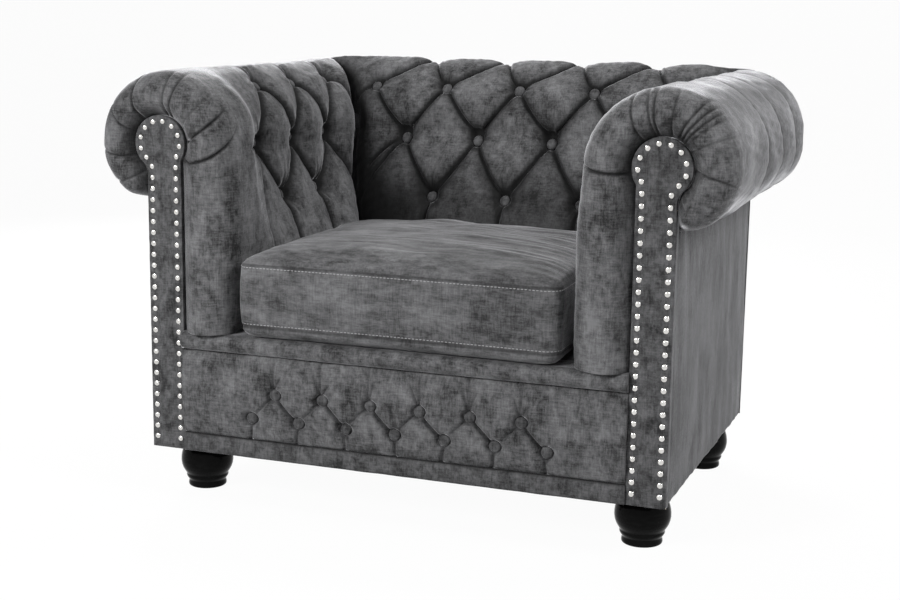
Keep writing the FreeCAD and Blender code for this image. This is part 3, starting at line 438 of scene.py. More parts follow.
def velvet(name, dark, light, stretch=(30, 30, 30), crush=(85, 85, 85), sheen=0.55):
    """Crushed velvet: pile pushed into light and dark patches, with a soft sheen at grazing angles. Its base
    colour is also darkened by painted shade from the fold attribute, in creases and hollows.
    """
    material, nodes, links, shader = new_material(name)
    coord = nodes.new("ShaderNodeTexCoord").outputs["Object"]
    patches = noise(nodes, links, coord, stretch, 3.0, 0.3, 0.55)
    pile_marks_and_painted_shade = noise(nodes, links, coord, crush, 5.0, 0.35, 0.68)
    pile = noise(nodes, links, coord, (900, 900, 900), 2.0)
    upright = noise(nodes, links, coord, (420, 420, 55), 2.0)
    level = noise(nodes, links, coord, (70, 70, 420), 2.0)
    mixed = math_node(nodes, links, "MULTIPLY", patches, 0.33)
    for layer, share in ((pile_marks_and_painted_shade, 0.29), (pile, 0.1), (upright, 0.14), (level, 0.14)):
        mixed = math_node(nodes, links, "ADD", mixed, math_node(nodes, links, "MULTIPLY", layer, share))
    colour = ramp(nodes, links, mixed, [(0.41, dark), (0.5, (dark + light) / 2.1), (0.6, light)])
    # Painted shade: the fold attribute, 0 to 1, darkens the base colour by up to 94 percent
    attribute = nodes.new("ShaderNodeAttribute")
    attribute.attribute_name = "fold"
    shade = math_node(nodes, links, "MULTIPLY", attribute.outputs["Fac"], 0.94)
    shade = math_node(nodes, links, "SUBTRACT", 1.0, shade)
    mix = nodes.new("ShaderNodeMix")
    mix.data_type = "RGBA"
    mix.blend_type = "MULTIPLY"
    mix.inputs["Factor"].default_value = 1.0
    links.new(colour, mix.inputs["A"])
    links.new(shade, mix.inputs["B"])
    links.new(mix.outputs["Result"], shader.inputs["Base Color"])
    shader.inputs["Roughness"].default_value = 0.82
    shader.inputs["Specular IOR Level"].default_value = 0.25
    shader.inputs["Sheen Weight"].default_value = sheen
    shader.inputs["Sheen Roughness"].default_value = 0.27
    shader.inputs["Sheen Tint"].default_value = (0.9, 0.9, 0.93, 1)
    first = bump(nodes, links, shader, pile_marks_and_painted_shade, 0.0016, 0.5)
    bump(nodes, links, shader, pile, 0.0004, 0.5, first)
    return material


def plain(name, dark, light, stretch, rough, metallic=0.0, depth=0.0002, detail=4.0):
    """A surface with two tones in a stretched noise, such as planed wood, foam or metal."""
    material, nodes, links, shader = new_material(name)
    coord = nodes.new("ShaderNodeTexCoord").outputs["Object"]
    grain = noise(nodes, links, coord, stretch, detail, 0.6)
    links.new(ramp(nodes, links, grain, [(0.35, dark), (0.65, light)]), shader.inputs["Base Color"])
    shader.inputs["Roughness"].default_value = rough
    shader.inputs["Metallic"].default_value = metallic
    if depth > 0:
        bump(nodes, links, shader, grain, depth, 0.6)
    return material


def woven(name, dark, light, pitch, rough=0.85):
    """Two crossing sets of threads."""
    material, nodes, links, shader = new_material(name)
    coord = nodes.new("ShaderNodeTexCoord").outputs["Object"]
    heights = []
    for direction in ("X", "Y", "Z"):
        wave = nodes.new("ShaderNodeTexWave")
        wave.wave_type = "BANDS"
        wave.bands_direction = direction
        wave.inputs["Scale"].default_value = 1 / (pitch * 6.3)
        wave.inputs["Distortion"].default_value = 0.6
        links.new(coord, wave.inputs["Vector"])
        heights.append(wave.outputs["Fac"])
    weave = math_node(nodes, links, "MULTIPLY", heights[0], heights[1])
    weave = math_node(nodes, links, "ADD", weave, math_node(nodes, links, "MULTIPLY", heights[2], 0.5))
    links.new(ramp(nodes, links, weave, [(0.1, dark), (0.9, light)]), shader.inputs["Base Color"])
    shader.inputs["Roughness"].default_value = rough
    bump(nodes, links, shader, weave, 0.0005, 0.7)
    return material


VELVET = velvet("velvet_body", 0.014, 0.155, (20, 20, 15), (85, 85, 60), 0.8)
VELVET_FINE = velvet("velvet_facing", 0.016, 0.115, (50, 50, 36), (150, 150, 110), 0.6)
VELVET_TOP = velvet("velvet_cushion", 0.02, 0.15, (10, 24, 20), (40, 80, 90), 0.5)
VELVET_SIDE = velvet("velvet_outside", 0.035, 0.145, (22, 22, 9), (100, 100, 30), 0.5)
NICKEL = plain("polished_nickel", (0.60, 0.59, 0.57), (0.72, 0.71, 0.69), (60, 60, 60), 0.13, 1.0, 0.0)
LACQUER_LOW = (0.002, 0.002, 0.002)
LACQUER_HIGH = (0.004, 0.004, 0.004)
LACQUER = plain("black_lacquer", LACQUER_LOW, LACQUER_HIGH, (40, 40, 160), 0.1, 0.0, 0.00003, 3.0)
LACQUER.node_tree.nodes["Principled BSDF"].inputs["Specular IOR Level"].default_value = 0.05
STEEL = plain("zinc_steel", (0.45, 0.45, 0.44), (0.62, 0.62, 0.60), (90, 90, 20), 0.35, 1.0, 0.00003)
TIMBER = plain("planed_beech", (0.45, 0.29, 0.16), (0.66, 0.47, 0.29), (9, 60, 60), 0.6, 0.0, 0.0002)
PLYWOOD = plain("raw_plywood", (0.50, 0.35, 0.20), (0.70, 0.54, 0.35), (70, 70, 12), 0.7, 0.0, 0.0002)
FOAM = plain("upholstery_foam", (0.72, 0.69, 0.58), (0.86, 0.83, 0.74), (400, 400, 400), 0.95, 0.0, 0.0008)
THREAD = plain("grey_thread", (0.3, 0.3, 0.305), (0.44, 0.44, 0.445), (900, 900, 900), 0.7, 0.0, 0.0001)
WEBBING = woven("elastic_webbing", (0.02, 0.02, 0.02), (0.09, 0.09, 0.09), 0.0022)
HESSIAN = woven("jute_hessian", (0.28, 0.20, 0.10), (0.58, 0.45, 0.28), 0.0016)
TAPE = woven("zip_tape", (0.03, 0.03, 0.032), (0.09, 0.09, 0.095), 0.0008)
DUST = woven("dust_cloth", (0.008, 0.008, 0.008), (0.03, 0.03, 0.03), 0.0012)

# Carried-over solids keep their shape and get a finish
for node, material in (("_rail", TIMBER), ("_post", TIMBER), ("upright", TIMBER), ("corner_blocks", TIMBER),
                       ("board", PLYWOOD), ("webbing", WEBBING), ("hessian", HESSIAN), ("dust", DUST),
                       ("bolts", STEEL), ("nuts", STEEL), ("core", FOAM)):
    for name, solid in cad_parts.items():
        if node in name and "pad" not in name and "button" not in name:
            if not solid.material_slots:
                solid.data.materials.append(material)
            for holder in solid.material_slots:
                holder.material = material


# Arm pads: points per stretch of the section, where the hidden side starts and its outline (x, z)
ARM_COUNTS = (46, 74, 66, 72, 54, 6)
BOARD_Y = 19.0
ARM_HIDDEN = np.array([(427.5, 496.5), (427.5, 541), (355.8, 541), (355.8, 286.5)])


def section_points(knots, counts):
    """A line, four arcs and a line through eleven knots."""
    arcs = [arc_points(*knots[k:k + 3], count) for k, count in zip((1, 3, 5, 7), counts[1:])]
    first = line_points(knots[0], knots[1], counts[0])
    last = line_points(knots[9], knots[10], counts[5])
    return np.concatenate([first] + arcs + [last, np.array([knots[10]])])


def arm_section(kind):
    """Cross-section (x, z) of a right arm: kind 0 is the plain front, 1 the buttoned part."""
    in_x, lean_x, belly_x, crest_x = [(280, 286, 280, 395), (272, 322, 304, 400)][kind]
    shoulder_x = lean_x + 0.27 * (crest_x - lean_x)
    knots = [(in_x, DECK_Z), (in_x, FLAT_Z), (belly_x, 485), (lean_x, 570), (shoulder_x, 657),
             (crest_x, 702), (487, 669), (518, 596), (500, 526.5), (446, 497.3), (STEM_OUT_X, FOOT_Z)]
    return section_points(knots, ARM_COUNTS)


def facing_line():
    """Right facing's outline (x, z): up the inner edge, over the head and down the outer edge."""
    low = (STEM_IN_X, HEAD_Z - math.sqrt(HEAD_R ** 2 - (HEAD_X - STEM_IN_X) ** 2))
    turn = math.radians(35)
    high = (HEAD_X + HEAD_R * math.cos(turn), HEAD_Z - HEAD_R * math.sin(turn))
    neck = (STEM_OUT_X, NECK_Z)
    foot = (STEM_OUT_X, BASE_Z)
    hollow = (STEM_OUT_X + 0.12 * (high[0] - STEM_OUT_X), neck[1] + 0.55 * (high[1] - neck[1]))
    return np.concatenate([line_points((STEM_IN_X, BASE_Z), low, 60),
                           arc_points(low, (HEAD_X, HEAD_Z + HEAD_R), high, 80),
                           arc_points(high, hollow, neck, 14), line_points(neck, foot, 60), [foot]])


def front_ring():
    """The facing's outline again, one point for each point of the arm section."""
    outline = facing_line()
    s = path_length(outline)

    def reach(x, z):
        return s[np.argmin(np.hypot(outline[:, 0] - x, outline[:, 1] - z))]

    def on_head(angle):
        a = math.radians(angle)
        return reach(HEAD_X + HEAD_R * math.cos(a), HEAD_Z + HEAD_R * math.sin(a))

    stops = [reach(STEM_IN_X, DECK_Z), reach(STEM_IN_X, FLAT_Z), on_head(176), on_head(100), on_head(8),
             reach(STEM_OUT_X, 507), reach(STEM_OUT_X, FOOT_Z)]
    places = np.concatenate([np.linspace(a, b, n, endpoint=False)
                             for a, b, n in zip(stops, stops[1:], ARM_COUNTS)] + [stops[-1:]])
    return np.stack([np.interp(places, s, outline[:, k]) for k in range(2)], 1)


def round_corner(x, y):
    """Bends the square outer corner of the rolls to the round one in plan."""
    dx = np.clip((np.abs(x) - CORNER_X) / CORNER_R, 0, 1)
    dy = np.clip((y - CORNER_Y) / CORNER_R, 0, 1)
    both = (dx > 0) & (dy > 0)
    share_x, share_y = round_shares(dx, dy)
    new_x = np.where(both, CORNER_X + CORNER_R * share_x, np.abs(x))
    new_y = np.where(both, CORNER_Y + CORNER_R * share_y, y)
    return new_x * np.where(x < 0, -1, 1), new_y


def section_place(section, reach, seat):
    """Arc length along the section nearest to a button's seat, and its depth below the section."""
    d = np.hypot(section[:, 0] - seat[0], section[:, 1] - seat[1])
    return reach[np.argmin(d)], d.min()


def spot(button):
    """Place of a button in (length along the section, length along the pad)."""
    return button[0][0], button[1]


def corner_line(section, other):
    """For each point of one section, how far out the other one stands at the same height."""
    crest = int(np.argmax(section[:, 1]))
    other_crest = int(np.argmax(other[:, 1]))
    rise = (other[other_crest, 1] - DECK_Z) / (section[crest, 1] - DECK_Z)
    height = DECK_Z + (section[:, 1] - DECK_Z) * rise
    inner = other[:other_crest + 1]
    outer = other[other_crest:][::-1]
    before = np.arange(len(section)) <= crest
    return np.where(before, np.interp(height, inner[:, 1], inner[:, 0]),
                    np.interp(height, outer[:, 1], outer[:, 0]))


# Gathers of a roll's front: angle at the facing's head, angle at the roll's edge, depth, half width
LEFT_GATHERS = [(-61, -32, 4.0, 9), (-25, 0, 4.5, 10), (20, 40, 4.0, 10), (51, 75, 5.0, 11),
                (108, 98, 3.5, 7), (118, 108, 4.5, 9), (177, 151, 6.5, 12), (214, 172, 8.0, 15),
                (150, 135, 2.5, 8)]
RIGHT_GATHERS = [(129, 112, 4.0, 9), (104, 103, 4.0, 6), (99, 96, 4.5, 7), (76, 81, 4.0, 10),
                 (63, 58, 4.5, 6), (57, 51, 5.0, 6), (51, 45, 4.5, 6), (45, 40, 3.5, 6), (32, 25, 3.0, 7),
                 (-1, -14, 4.0, 9), (-30, -22, 2.0, 5), (-40, -30, 2.0, 5), (-50, -38, 2.0, 5),
                 (-60, -44, 2.0, 5), (192, 178, 7.5, 14)]


def roll_gathers(angle, radius, way, lines):
    """Depth of the radial pleats of a roll's front; way is 0 at the facing, 1 where the roll runs on."""
    total = np.zeros(angle.shape)
    for start, end, deep, half in lines:
        line = np.radians(start + (end - start) * np.clip(way, 0, 1.3))
        off = (angle - line + math.pi) % (2 * math.pi) - math.pi
        gap = np.abs(off) * radius
        spread = half * (0.30 + 0.45 * way)
        fade = smooth(0.0, 0.12, way) * (1 - smooth(0.7, 1.25, way))
        ridge = 0.3 * np.exp(-gap / spread) + 0.75 * np.exp(-(gap / 2.4) ** 2)
        total = np.maximum(total, 0.8 * deep * fade * ridge)
    return total


def arm_folds(rows, section, reach, wobble):
    """The fold network of an arm in (length along the section, y)."""
    low, mid, top = [[(section_place(section, reach, (s[0], s[2])), s[1]) for s in row] for row in rows]
    draw = np.random.default_rng(wobble)

    def join(a, b, bow, middle=9.0, lap=1):
        ends = (a[0][1], b[0][1])
        return fold(spot(a), spot(b), ends, 1.45 * middle, bow + draw.uniform(-2, 2), lap)

    pitch = mid[1][1] - mid[0][1]
    far_mid = ((mid[0][0][0], 14), mid[2][1] + pitch)
    far_low = ((low[0][0][0], 14), low[1][1] + pitch)
    folds = []
    for k, c in enumerate(top):
        right = mid[k + 1] if k < 2 else far_mid
        folds += [join(mid[k], c, -7, 9.5, -1), join(c, right, -7, 9.5, 1)]
        over = (reach[-1] - 62 + draw.uniform(-14, 14), c[1] + draw.uniform(-9, 9))
        folds.append(fold(spot(c), over, (c[0][1], 0.5), 5.0, draw.uniform(-6, 6), 1, 1.6, 34))
    for k in range(2):
        folds.append(join(mid[k], low[k], 6, 9.0, 1))
        folds.append(join(low[k], mid[k + 1], 6, 9.0, -1))
    folds.append(join(mid[2], far_low, 6, 9.0, 1))
    for b in low:
        end = (SEAT_EDGE, b[1] - 6 + draw.uniform(-4, 4))
        folds.append(fold(spot(b), end, (b[0][1], 5), 9.0, 3, 1, 2.2, 40))
    m = mid[0]
    folds.append(fold(spot(m), (m[0][0] + 4, 70), (m[0][1], 3), 7.0, -5, 1, 2.0, 34))
    folds.append(fold((m[0][0] - 20, m[1] - 8), (46, m[1] - 52), (3, 2), 4.0, 8, 1, 1.2, 30))
    return folds, [(spot(b), b[0][1] + 0.4) for b in low + mid + top]


def arm_base(full_part, end_y):
    """The arm before its cloth is drawn in: rows go round the section, columns from the facing's edge to
    end_y. Also how far out of the facing each column is, how far along the roll's front, and the y of
    the front columns."""
    plain_part = arm_section(0)
    ring = front_ring()
    out = np.linspace(0.04, 1, 15)
    turn = np.linspace(0.04, 1, 26) * math.pi / 2
    rise = np.linspace(0.06, 1, 15) * math.pi / 2
    share = np.concatenate([[0, 0], 0.42 * out, 0.42 + 0.58 * np.sin(turn)])
    front_y = np.concatenate([[18.4, 10.0], 10.0 - (10.0 + PROUD) * np.sin(rise),
                              -PROUD + 52 * (1 - np.cos(turn))])
    way = np.linspace(0, 1, len(share))
    count = int((620 - front_y[-1]) / STEP)
    run = np.linspace(0, 1, count + 1)[1:]
    far_y = front_y[-1] + (end_y[:, None] - front_y[-1]) * run[None, :]
    proud = smooth(4, 46, np.hypot(*(plain_part - ring).T))[:, None]
    level = np.linspace(front_y[0], front_y[-1], len(front_y))[None, :]
    y = np.concatenate([level + (front_y[None, :] - level) * proud, far_y], 1)
    share = np.concatenate([share, np.ones(count)])[None, :]
    kind = smooth(85, 165, y)
    section_x = plain_part[:, :1] + (full_part[:, :1] - plain_part[:, :1]) * kind
    section_z = plain_part[:, 1:] + (full_part[:, 1:] - plain_part[:, 1:]) * kind
    x = ring[:, :1] + (section_x - ring[:, :1]) * share
    z = ring[:, 1:] + (section_z - ring[:, 1:]) * share
    z = z + 2 * smooth(500, 620, y) * smooth(560, 700, z)
    front_way = np.concatenate([way, 1 + (run * 560) / 90])[None, :] * np.ones_like(y)
    return np.stack([x, y, z], -1), share, front_way, front_y


def close_arm(shown, y, front_y):
    """Vertices and faces of the arm with its hidden side, from behind the facing's board to the corner."""
    start = int(np.argmax(front_y > BOARD_Y))
    inner = []
    for hidden_x, hidden_z in ARM_HIDDEN:
        hidden_y = y[-1 if hidden_z > FOOT_Z else 0, start:]
        inner.append(np.stack([np.full(hidden_y.shape, hidden_x), hidden_y,
                               np.full(hidden_y.shape, hidden_z)], -1))
    verts = np.concatenate([shown.reshape(-1, 3), np.array(inner).reshape(-1, 3)])
    rows, cols = y.shape
    width = cols - start
    first = rows * cols
    k = np.arange(width - 1)
    outer_last = (rows - 1) * cols + start + k
    hidden_last = first + (len(ARM_HIDDEN) - 1) * width + k
    blocks = [grid_quads(rows, cols), grid_quads(len(ARM_HIDDEN), width, first),
              np.stack([outer_last, outer_last + 1, first + k + 1, first + k], 1),
              np.stack([hidden_last, hidden_last + 1, start + k + 1, start + k], 1)]
    faces = [list(f) for block in blocks for f in block]
    stations = np.arange(start + 1)
    faces.append(list(stations))
    faces.append(list((rows - 1) * cols + stations))
    return verts, faces


def make_arm(side):
    """A rolled arm: plain and pleated round the facing at the front, deep-buttoned behind."""
    name = "right" if side > 0 else "left"
    full_part = arm_section(1)
    reach = path_length(full_part)
    seats = [(s * [side, 1, 1], d) for s, d in studs("arm_buttons_" + name)]
    rows = [[s for s, d in sorted(seats, key=lambda b: b[0][1]) if low < s[2] < high]
            for low, high in ((440, 530), (530, 620), (620, 700))]

    # The arm and the back meet on meet_y, deeper in the inner corner; the arm runs on a little behind it
    inside = smooth(reach[-1] * 0.66, reach[-1] * 0.54, reach)
    meet_y = corner_line(full_part, back_section()) + CORNER_IN * inside
    base, share, front_way, front_y = arm_base(full_part, meet_y + 8 + 20 * inside)
    x, y, z = base[..., 0], base[..., 1], base[..., 2]
    normal = outward(base)
    u = np.repeat(reach[:, None], y.shape[1], 1)

    folds, buttons = arm_folds(rows, full_part, reach, 3 if side > 0 else 7)
    depth, crease_shade = draw_in(u, y, folds, buttons)
    back = smooth(60, 110, y)
    depth = depth * back
    depth += gathers(u, y, [b for b, d in buttons], 1.3) * back

    # Pleats round the facing's head
    angle = np.arctan2(z - HEAD_Z, x - HEAD_X)
    radius = np.hypot(x - HEAD_X, z - HEAD_Z)
    lines = RIGHT_GATHERS if side > 0 else LEFT_GATHERS
    high = smooth(480, 540, z)
    pleats = roll_gathers(angle, radius, front_way, lines) * high
    depth += pleats
    # Painted shade along the pleats
    crease_shade = np.maximum(crease_shade * back, 1.3 * np.clip((pleats - 0.9) / 3.2, 0, 0.8))

    # The crease where the arm meets the back
    mitre = y - meet_y[:, None]
    inner = inside[:, None] * np.ones_like(y)
    deepest = 14 + 12 * inner
    dip = deepest * (1 - np.sqrt(np.clip(1 - (1 - np.clip(-0.6 * mitre / 30, 0, 1)) ** 2, 0, 1)))
    depth = np.where(mitre > 0, deepest + 0.9 * mitre, settle(depth, dip))
    last_bulge = np.exp(-((mitre + 58) / 36) ** 2) * smooth(300, 380, z) * smooth(705, 660, z)
    depth -= 11 * inner * last_bulge
    # Painted shade along the crease where the arm meets the back
    crease_shade = np.maximum(crease_shade, inner * np.exp(-np.abs(mitre) / 12))

    # Soft edge over the seat, a plump front and slack between the buttons
    depth += 10 * np.exp(-u / 9) * smooth(0, 30, y)
    depth -= waves(base, 5 + side, 95) * 1.2 * smooth(-10, 60, y)
    depth -= waves(base * [1, 0.6, 1.6], 15 + side, 26) * 0.35 * smooth(-22, 40, y)
    shown = base - normal * depth[..., None]
    rim = (share < 0.02)[..., None]
    shown = np.where(rim, base, shown)
    shown[..., 0], shown[..., 1] = round_corner(shown[..., 0], shown[..., 1])

    verts, faces = close_arm(shown, y, front_y)
    verts = verts * [side, 1, 1]
    # Painted shade: darker in creases and hollows, and where the cloth turns in at the facing's edge, more so
    # towards the top
    crease_shade = painted_crease_shade(crease_shade, depth, mitre, inside)
    hollow = smooth(0.34, 0.0, share) * (0.35 + 0.55 * smooth(490, 560, z))
    pile_marks_and_painted_shade = np.concatenate([np.maximum(crease_shade, hollow).ravel(), np.zeros(len(verts) - crease_shade.size)])
    piece = make_mesh("arm_velvet_" + name, verts, faces, pile_marks_and_painted_shade)
    return finish_piece(piece, VELVET, "chair", ["arm_pad_" + name])


# Back pad: points per stretch of the section, and the hidden side (y, z)
BACK_COUNTS = (46, 80, 62, 46, 60, 6)
BACK_HIDDEN = [(598, 497), (628.5, 529), (628.5, 601), (584, 601), (584, 545), (517.5, 331), (517.5, 286.5)]


def back_section():
    """Cross-section (y, z) of the back."""
    knots = [(470, DECK_Z), (470, FLAT_Z), (510.5, 490), (555, 580), (581.6, 671), (638, 710),
             (687.6, 682.7), (705, 622), (682.7, 534.6), (616, 497.3), (BODY_DEPTH, FOOT_Z)]
    return section_points(knots, BACK_COUNTS)


def back_folds(rows, section, reach):
    """The fold network of the back in (length along the section, x)."""
    draw = np.random.default_rng(23)
    placed = [[(section_place(section, reach, (s[1], s[2])), s[0]) for s in row] for row in rows]
    folds = []
    pitch = placed[0][1][1] - placed[0][0][1]
    for level, (low, high) in enumerate(zip(placed, placed[1:])):
        for a in low:
            for b in high:
                if 0 < abs(b[1] - a[1]) < 0.82 * pitch:
                    way = 1 if b[1] > a[1] else -1
                    middle = (12.5, 12.0, 8.5)[level]
                    bow = way * (4 if level < 2 else 9) + draw.uniform(-2, 2)
                    folds.append(fold(spot(a), spot(b), (a[0][1], b[0][1]), middle, bow, way))
    for b in placed[0]:
        end = (SEAT_EDGE + 2, b[1] + draw.uniform(-5, 5))
        folds.append(fold(spot(b), end, (b[0][1], 6), 10.0, 3, 1, 2.4, 42))
    for row in placed[1:3]:
        for b in (row[0], row[-1]):
            sign = 1 if b[1] > 0 else -1
            end = (b[0][0] - 62, b[1] + sign * 62)
            folds.append(fold(spot(b), end, (b[0][1], 12), 9.0, -5 * sign, sign))
    edge = placed[1][0]
    for sign in (-1, 1):
        x = sign * abs(edge[1])
        end = (placed[0][0][0][0] - 10, x + sign * 70)
        folds.append(fold((edge[0][0], x), end, (edge[0][1], 12), 8.0, 4, sign))
    for b in placed[3]:
        end = (reach[-1] - 55 + draw.uniform(-14, 14), b[1] + draw.uniform(-9, 9))
        folds.append(fold(spot(b), end, (b[0][1], 0.5), 5.0, draw.uniform(-6, 6), 1, 1.6, 34))
    return folds, [(spot(b), b[0][1] + 0.4) for row in placed for b in row]


def make_back():
    """The deep-buttoned back, rolled over the top and let in between the arms."""
    section = back_section()
    reach = path_length(section)
    seats = [s for s, d in studs("back_buttons")]
    rows = [sorted([s for s in seats if low < s[2] < high], key=lambda s: s[0])
            for low, high in ((430, 500), (530, 590), (630, 668), (668, 705))]
    inside = smooth(reach[-1] * 0.66, reach[-1] * 0.56, reach)
    meet_x = corner_line(section, arm_section(1))
    half = meet_x + 6 + 24 * inside
    count = int(2 * 430 / STEP)
    x = half[:, None] * np.linspace(-1, 1, count)[None, :]
    y = np.repeat(section[:, :1], count, 1)
    z = np.repeat(section[:, 1:], count, 1)
    base = np.stack([x, y, z], -1)
    normal = -outward(base)
    u = np.repeat(reach[:, None], count, 1)
    folds, buttons = back_folds(rows, section, reach)
    depth, crease_shade = draw_in(u, x, folds, buttons)
    depth += gathers(u, x, [b for b, d in buttons], 1.3)
    mitre = np.abs(x) - meet_x[:, None]
    before = np.clip(-mitre, 0, None)
    front = smooth(660, 600, y)
    dip = 15 * np.exp(-before * 0.8 / 15) + 16 * np.exp(-before / 38) * front
    depth = np.where(mitre > 0, 15 + 16 * front + 0.9 * mitre, settle(depth, dip))
    # Painted shade along the crease where the back meets the arms, towards the front
    crease_shade = np.maximum(crease_shade, 0.9 * np.exp(-np.abs(mitre) / 22) * front)
    depth += 8 * np.exp(-u / 9)
    depth -= waves(base, 31, 95) * 1.3
    depth -= waves(base * [1.5, 1, 0.8], 32, 26) * 0.35
    shown = base - normal * depth[..., None]
    shown[..., 0], shown[..., 1] = round_corner(shown[..., 0], shown[..., 1])
    inner = []
    for hidden_y, hidden_z in BACK_HIDDEN:
        hidden_x = x[-1 if hidden_z > FLAT_Z else 0]
        inner.append(np.stack([hidden_x, np.full(count, hidden_y), np.full(count, hidden_z)], -1))
    verts = np.concatenate([shown, np.array(inner)]).reshape(-1, 3)
    total = len(section) + len(BACK_HIDDEN)
    faces = grid_quads(total, count)
    k = np.arange(count - 1)
    last = (total - 1) * count + k
    faces = np.concatenate([faces, np.stack([last, last + 1, k + 1, k], 1)])
    # Painted shade low on the back, just above the seat, stronger towards the sides
    low = smooth(560, 440, z) * (0.6 + 0.4 * smooth(120, 260, np.abs(x)))
    crease_shade = painted_crease_shade(crease_shade, depth, mitre, inside, low)
    pile_marks_and_painted_shade = np.concatenate([crease_shade.ravel(), np.zeros(len(verts) - crease_shade.size)])
    piece = make_mesh("back_velvet", verts, faces, pile_marks_and_painted_shade)
    finish_piece(piece, VELVET, "chair", ["back_pad"])


# Panels: a grid over a flat field, thickened backwards
def make_panel(name, across, up, place_at, surface, back, material, nodes, fold=None):
    """place_at(a, b, off) gives points; surface is how far each point stands out and back the hidden side."""
    a, b = np.meshgrid(across, up, indexing="ij")
    front = place_at(a, b, surface)
    rear = place_at(a, b, np.full(a.shape, back))
    rows, cols = a.shape
    ii, jj = rim_loop(rows, cols)
    n = len(ii)
    verts = np.concatenate([front.reshape(-1, 3), rear[ii, jj]])
    faces = grid_quads(rows, cols).tolist() + band(ii * cols + jj, rows * cols + np.arange(n))
    # fold is the panel's painted shade
    pile_marks_and_painted_shade = None if fold is None else np.concatenate([fold.ravel(), np.zeros(n)])
    piece = make_mesh(name, verts, faces, pile_marks_and_painted_shade)
    return finish_piece(piece, material, "chair", nodes)


def on_front(across, up, out):
    """A panel's points on the front face of the chair, out towards the viewer."""
    return np.stack([across, -out, up], -1)


def make_rail():
    """The buttoned strip under the seat: short creases join its two rows of buttons and run to its edges."""
    seats = [s for s, d in studs("rail_buttons")]
    across = np.linspace(-STEM_IN_X + 0.4, STEM_IN_X - 0.4, 460)
    up = np.linspace(BAND_TOP + 0.4, RAIL_TOP - 0.4, 90)
    a, b = np.meshgrid(across, up, indexing="ij")
    t = (b - BAND_TOP) / (RAIL_TOP - BAND_TOP)
    out = -2 + 10.5 * np.clip(4 * t * (1 - t), 0, 1) ** 0.6
    high = sorted([s for s in seats if s[2] > 170], key=lambda s: s[0])
    low = sorted([s for s in seats if s[2] < 170], key=lambda s: s[0])
    draw = np.random.default_rng(41)
    folds = []
    for s in high:
        here = (s[0], s[2])
        for c in low:
            if 0 < c[0] - s[0] < 60:
                bow = draw.uniform(-1.5, 1.5)
                folds.append(fold(here, (c[0], c[2]), (11, 11), 2.8, bow, 1, 2.0, 11))
            if 0 < s[0] - c[0] < 60:
                end = np.array(here) + (np.array([c[0], c[2]]) - here) * draw.uniform(0.75, 1.0)
                folds.append(fold(here, end, (11, 3), 1.8, draw.uniform(-1.5, 1.5), -1, 1.3, 9))
        tip = (s[0] + draw.uniform(-3, 3), RAIL_TOP)
        folds.append(fold(here, tip, (11, 1.6), 2.0, draw.uniform(-2, 2), 1, 1.6, 9))
        for k in (-1, 1):
            tip = (s[0] + k * draw.uniform(9, 16), s[2] + draw.uniform(26, 42))
            folds.append(fold(here, tip, (12, 0.3), 1.8, k * 2.0, k, 1.4, 9))
    for s in low:
        here = (s[0], s[2])
        tip = (s[0] + draw.uniform(-3, 3), BAND_TOP)
        folds.append(fold(here, tip, (11, 1.6), 2.2, draw.uniform(-2, 2), -1, 1.6, 9))
    spots = [((s[0], s[2]), 13.4) for s in seats]
    depth, crease_shade = draw_in(a, b, folds, spots, 10.6, 11.0)
    depth += gathers(a, b, [(s[0], s[2]) for s in seats], 0.45, 14, 9)
    depth -= waves(np.stack([a, b * 1.4], -1), 42, 70) * 0.8
    # Painted shade along the creases round the buttons
    crease_shade = np.clip(1.3 * crease_shade ** 1.8, 0, 1)
    out = out - np.clip(depth, -2, 14.2)
    make_panel("rail_velvet", across, up, on_front, out, STRIP_BACK, VELVET,
               ["rail_pad"], crease_shade)
    make_buttons("rail_button_caps", studs("rail_buttons"), ["rail_buttons"])


def make_band():
    """The plain, rounded band along the lower edge."""
    across = np.linspace(-STEM_IN_X + 0.4, STEM_IN_X - 0.4, 190)
    up = np.linspace(BASE_Z + 0.3, BAND_TOP - 0.2, 22)
    a, b = np.meshgrid(across, up, indexing="ij")
    t = (b - BASE_Z) / (BAND_TOP - BASE_Z)
    out = 1.0 + 4.2 * np.clip(4 * t * (1 - t), 0, 1) ** 0.35 + waves(np.stack([a, b], -1), 44, 60) * 0.5
    # Painted shade along the band's top and bottom edges
    edge = np.exp(-np.minimum(t, 1 - t) * 18)
    make_panel("lower_band_velvet", across, up, on_front, out, STRIP_BACK, VELVET_FINE,
               ["lower_band"], edge)


def make_seat_front():
    """The padded roll in front of the seat platform, over the buttoned strip."""
    profile = np.concatenate([line_points((17.8, RAIL_TOP + 0.5), (-1, RAIL_TOP + 0.5), 6),
                              arc_points((-1, RAIL_TOP + 0.5), (-13.2, 270), (-1, DECK_Z - 0.6), 22),
                              line_points((-1, DECK_Z - 0.6), (47.5, DECK_Z - 0.6), 10),
                              [(47.5, DECK_Z - 0.6), (47.5, 236.5), (18.4, 236.5), (18.2, RAIL_TOP - 2)]])
    across = np.linspace(-STEM_IN_X + 0.4, STEM_IN_X - 0.4, 200)
    x = np.repeat(across[None, :], len(profile), 0)
    y = np.repeat(profile[:, :1], len(across), 1)
    z = np.repeat(profile[:, 1:], len(across), 1)
    ripple = waves(np.stack([x, y, z], -1), 45, 60) * 0.9 * smooth(5, -8, y)
    verts = np.stack([x, y - ripple, z], -1)
    verts = np.concatenate([verts, verts[:1]])
    faces = grid_quads(len(profile) + 1, len(across))
    piece = make_mesh("seat_front_velvet", verts.reshape(-1, 3), faces)
    finish_piece(piece, VELVET, "chair", ["seat_front_roll"])


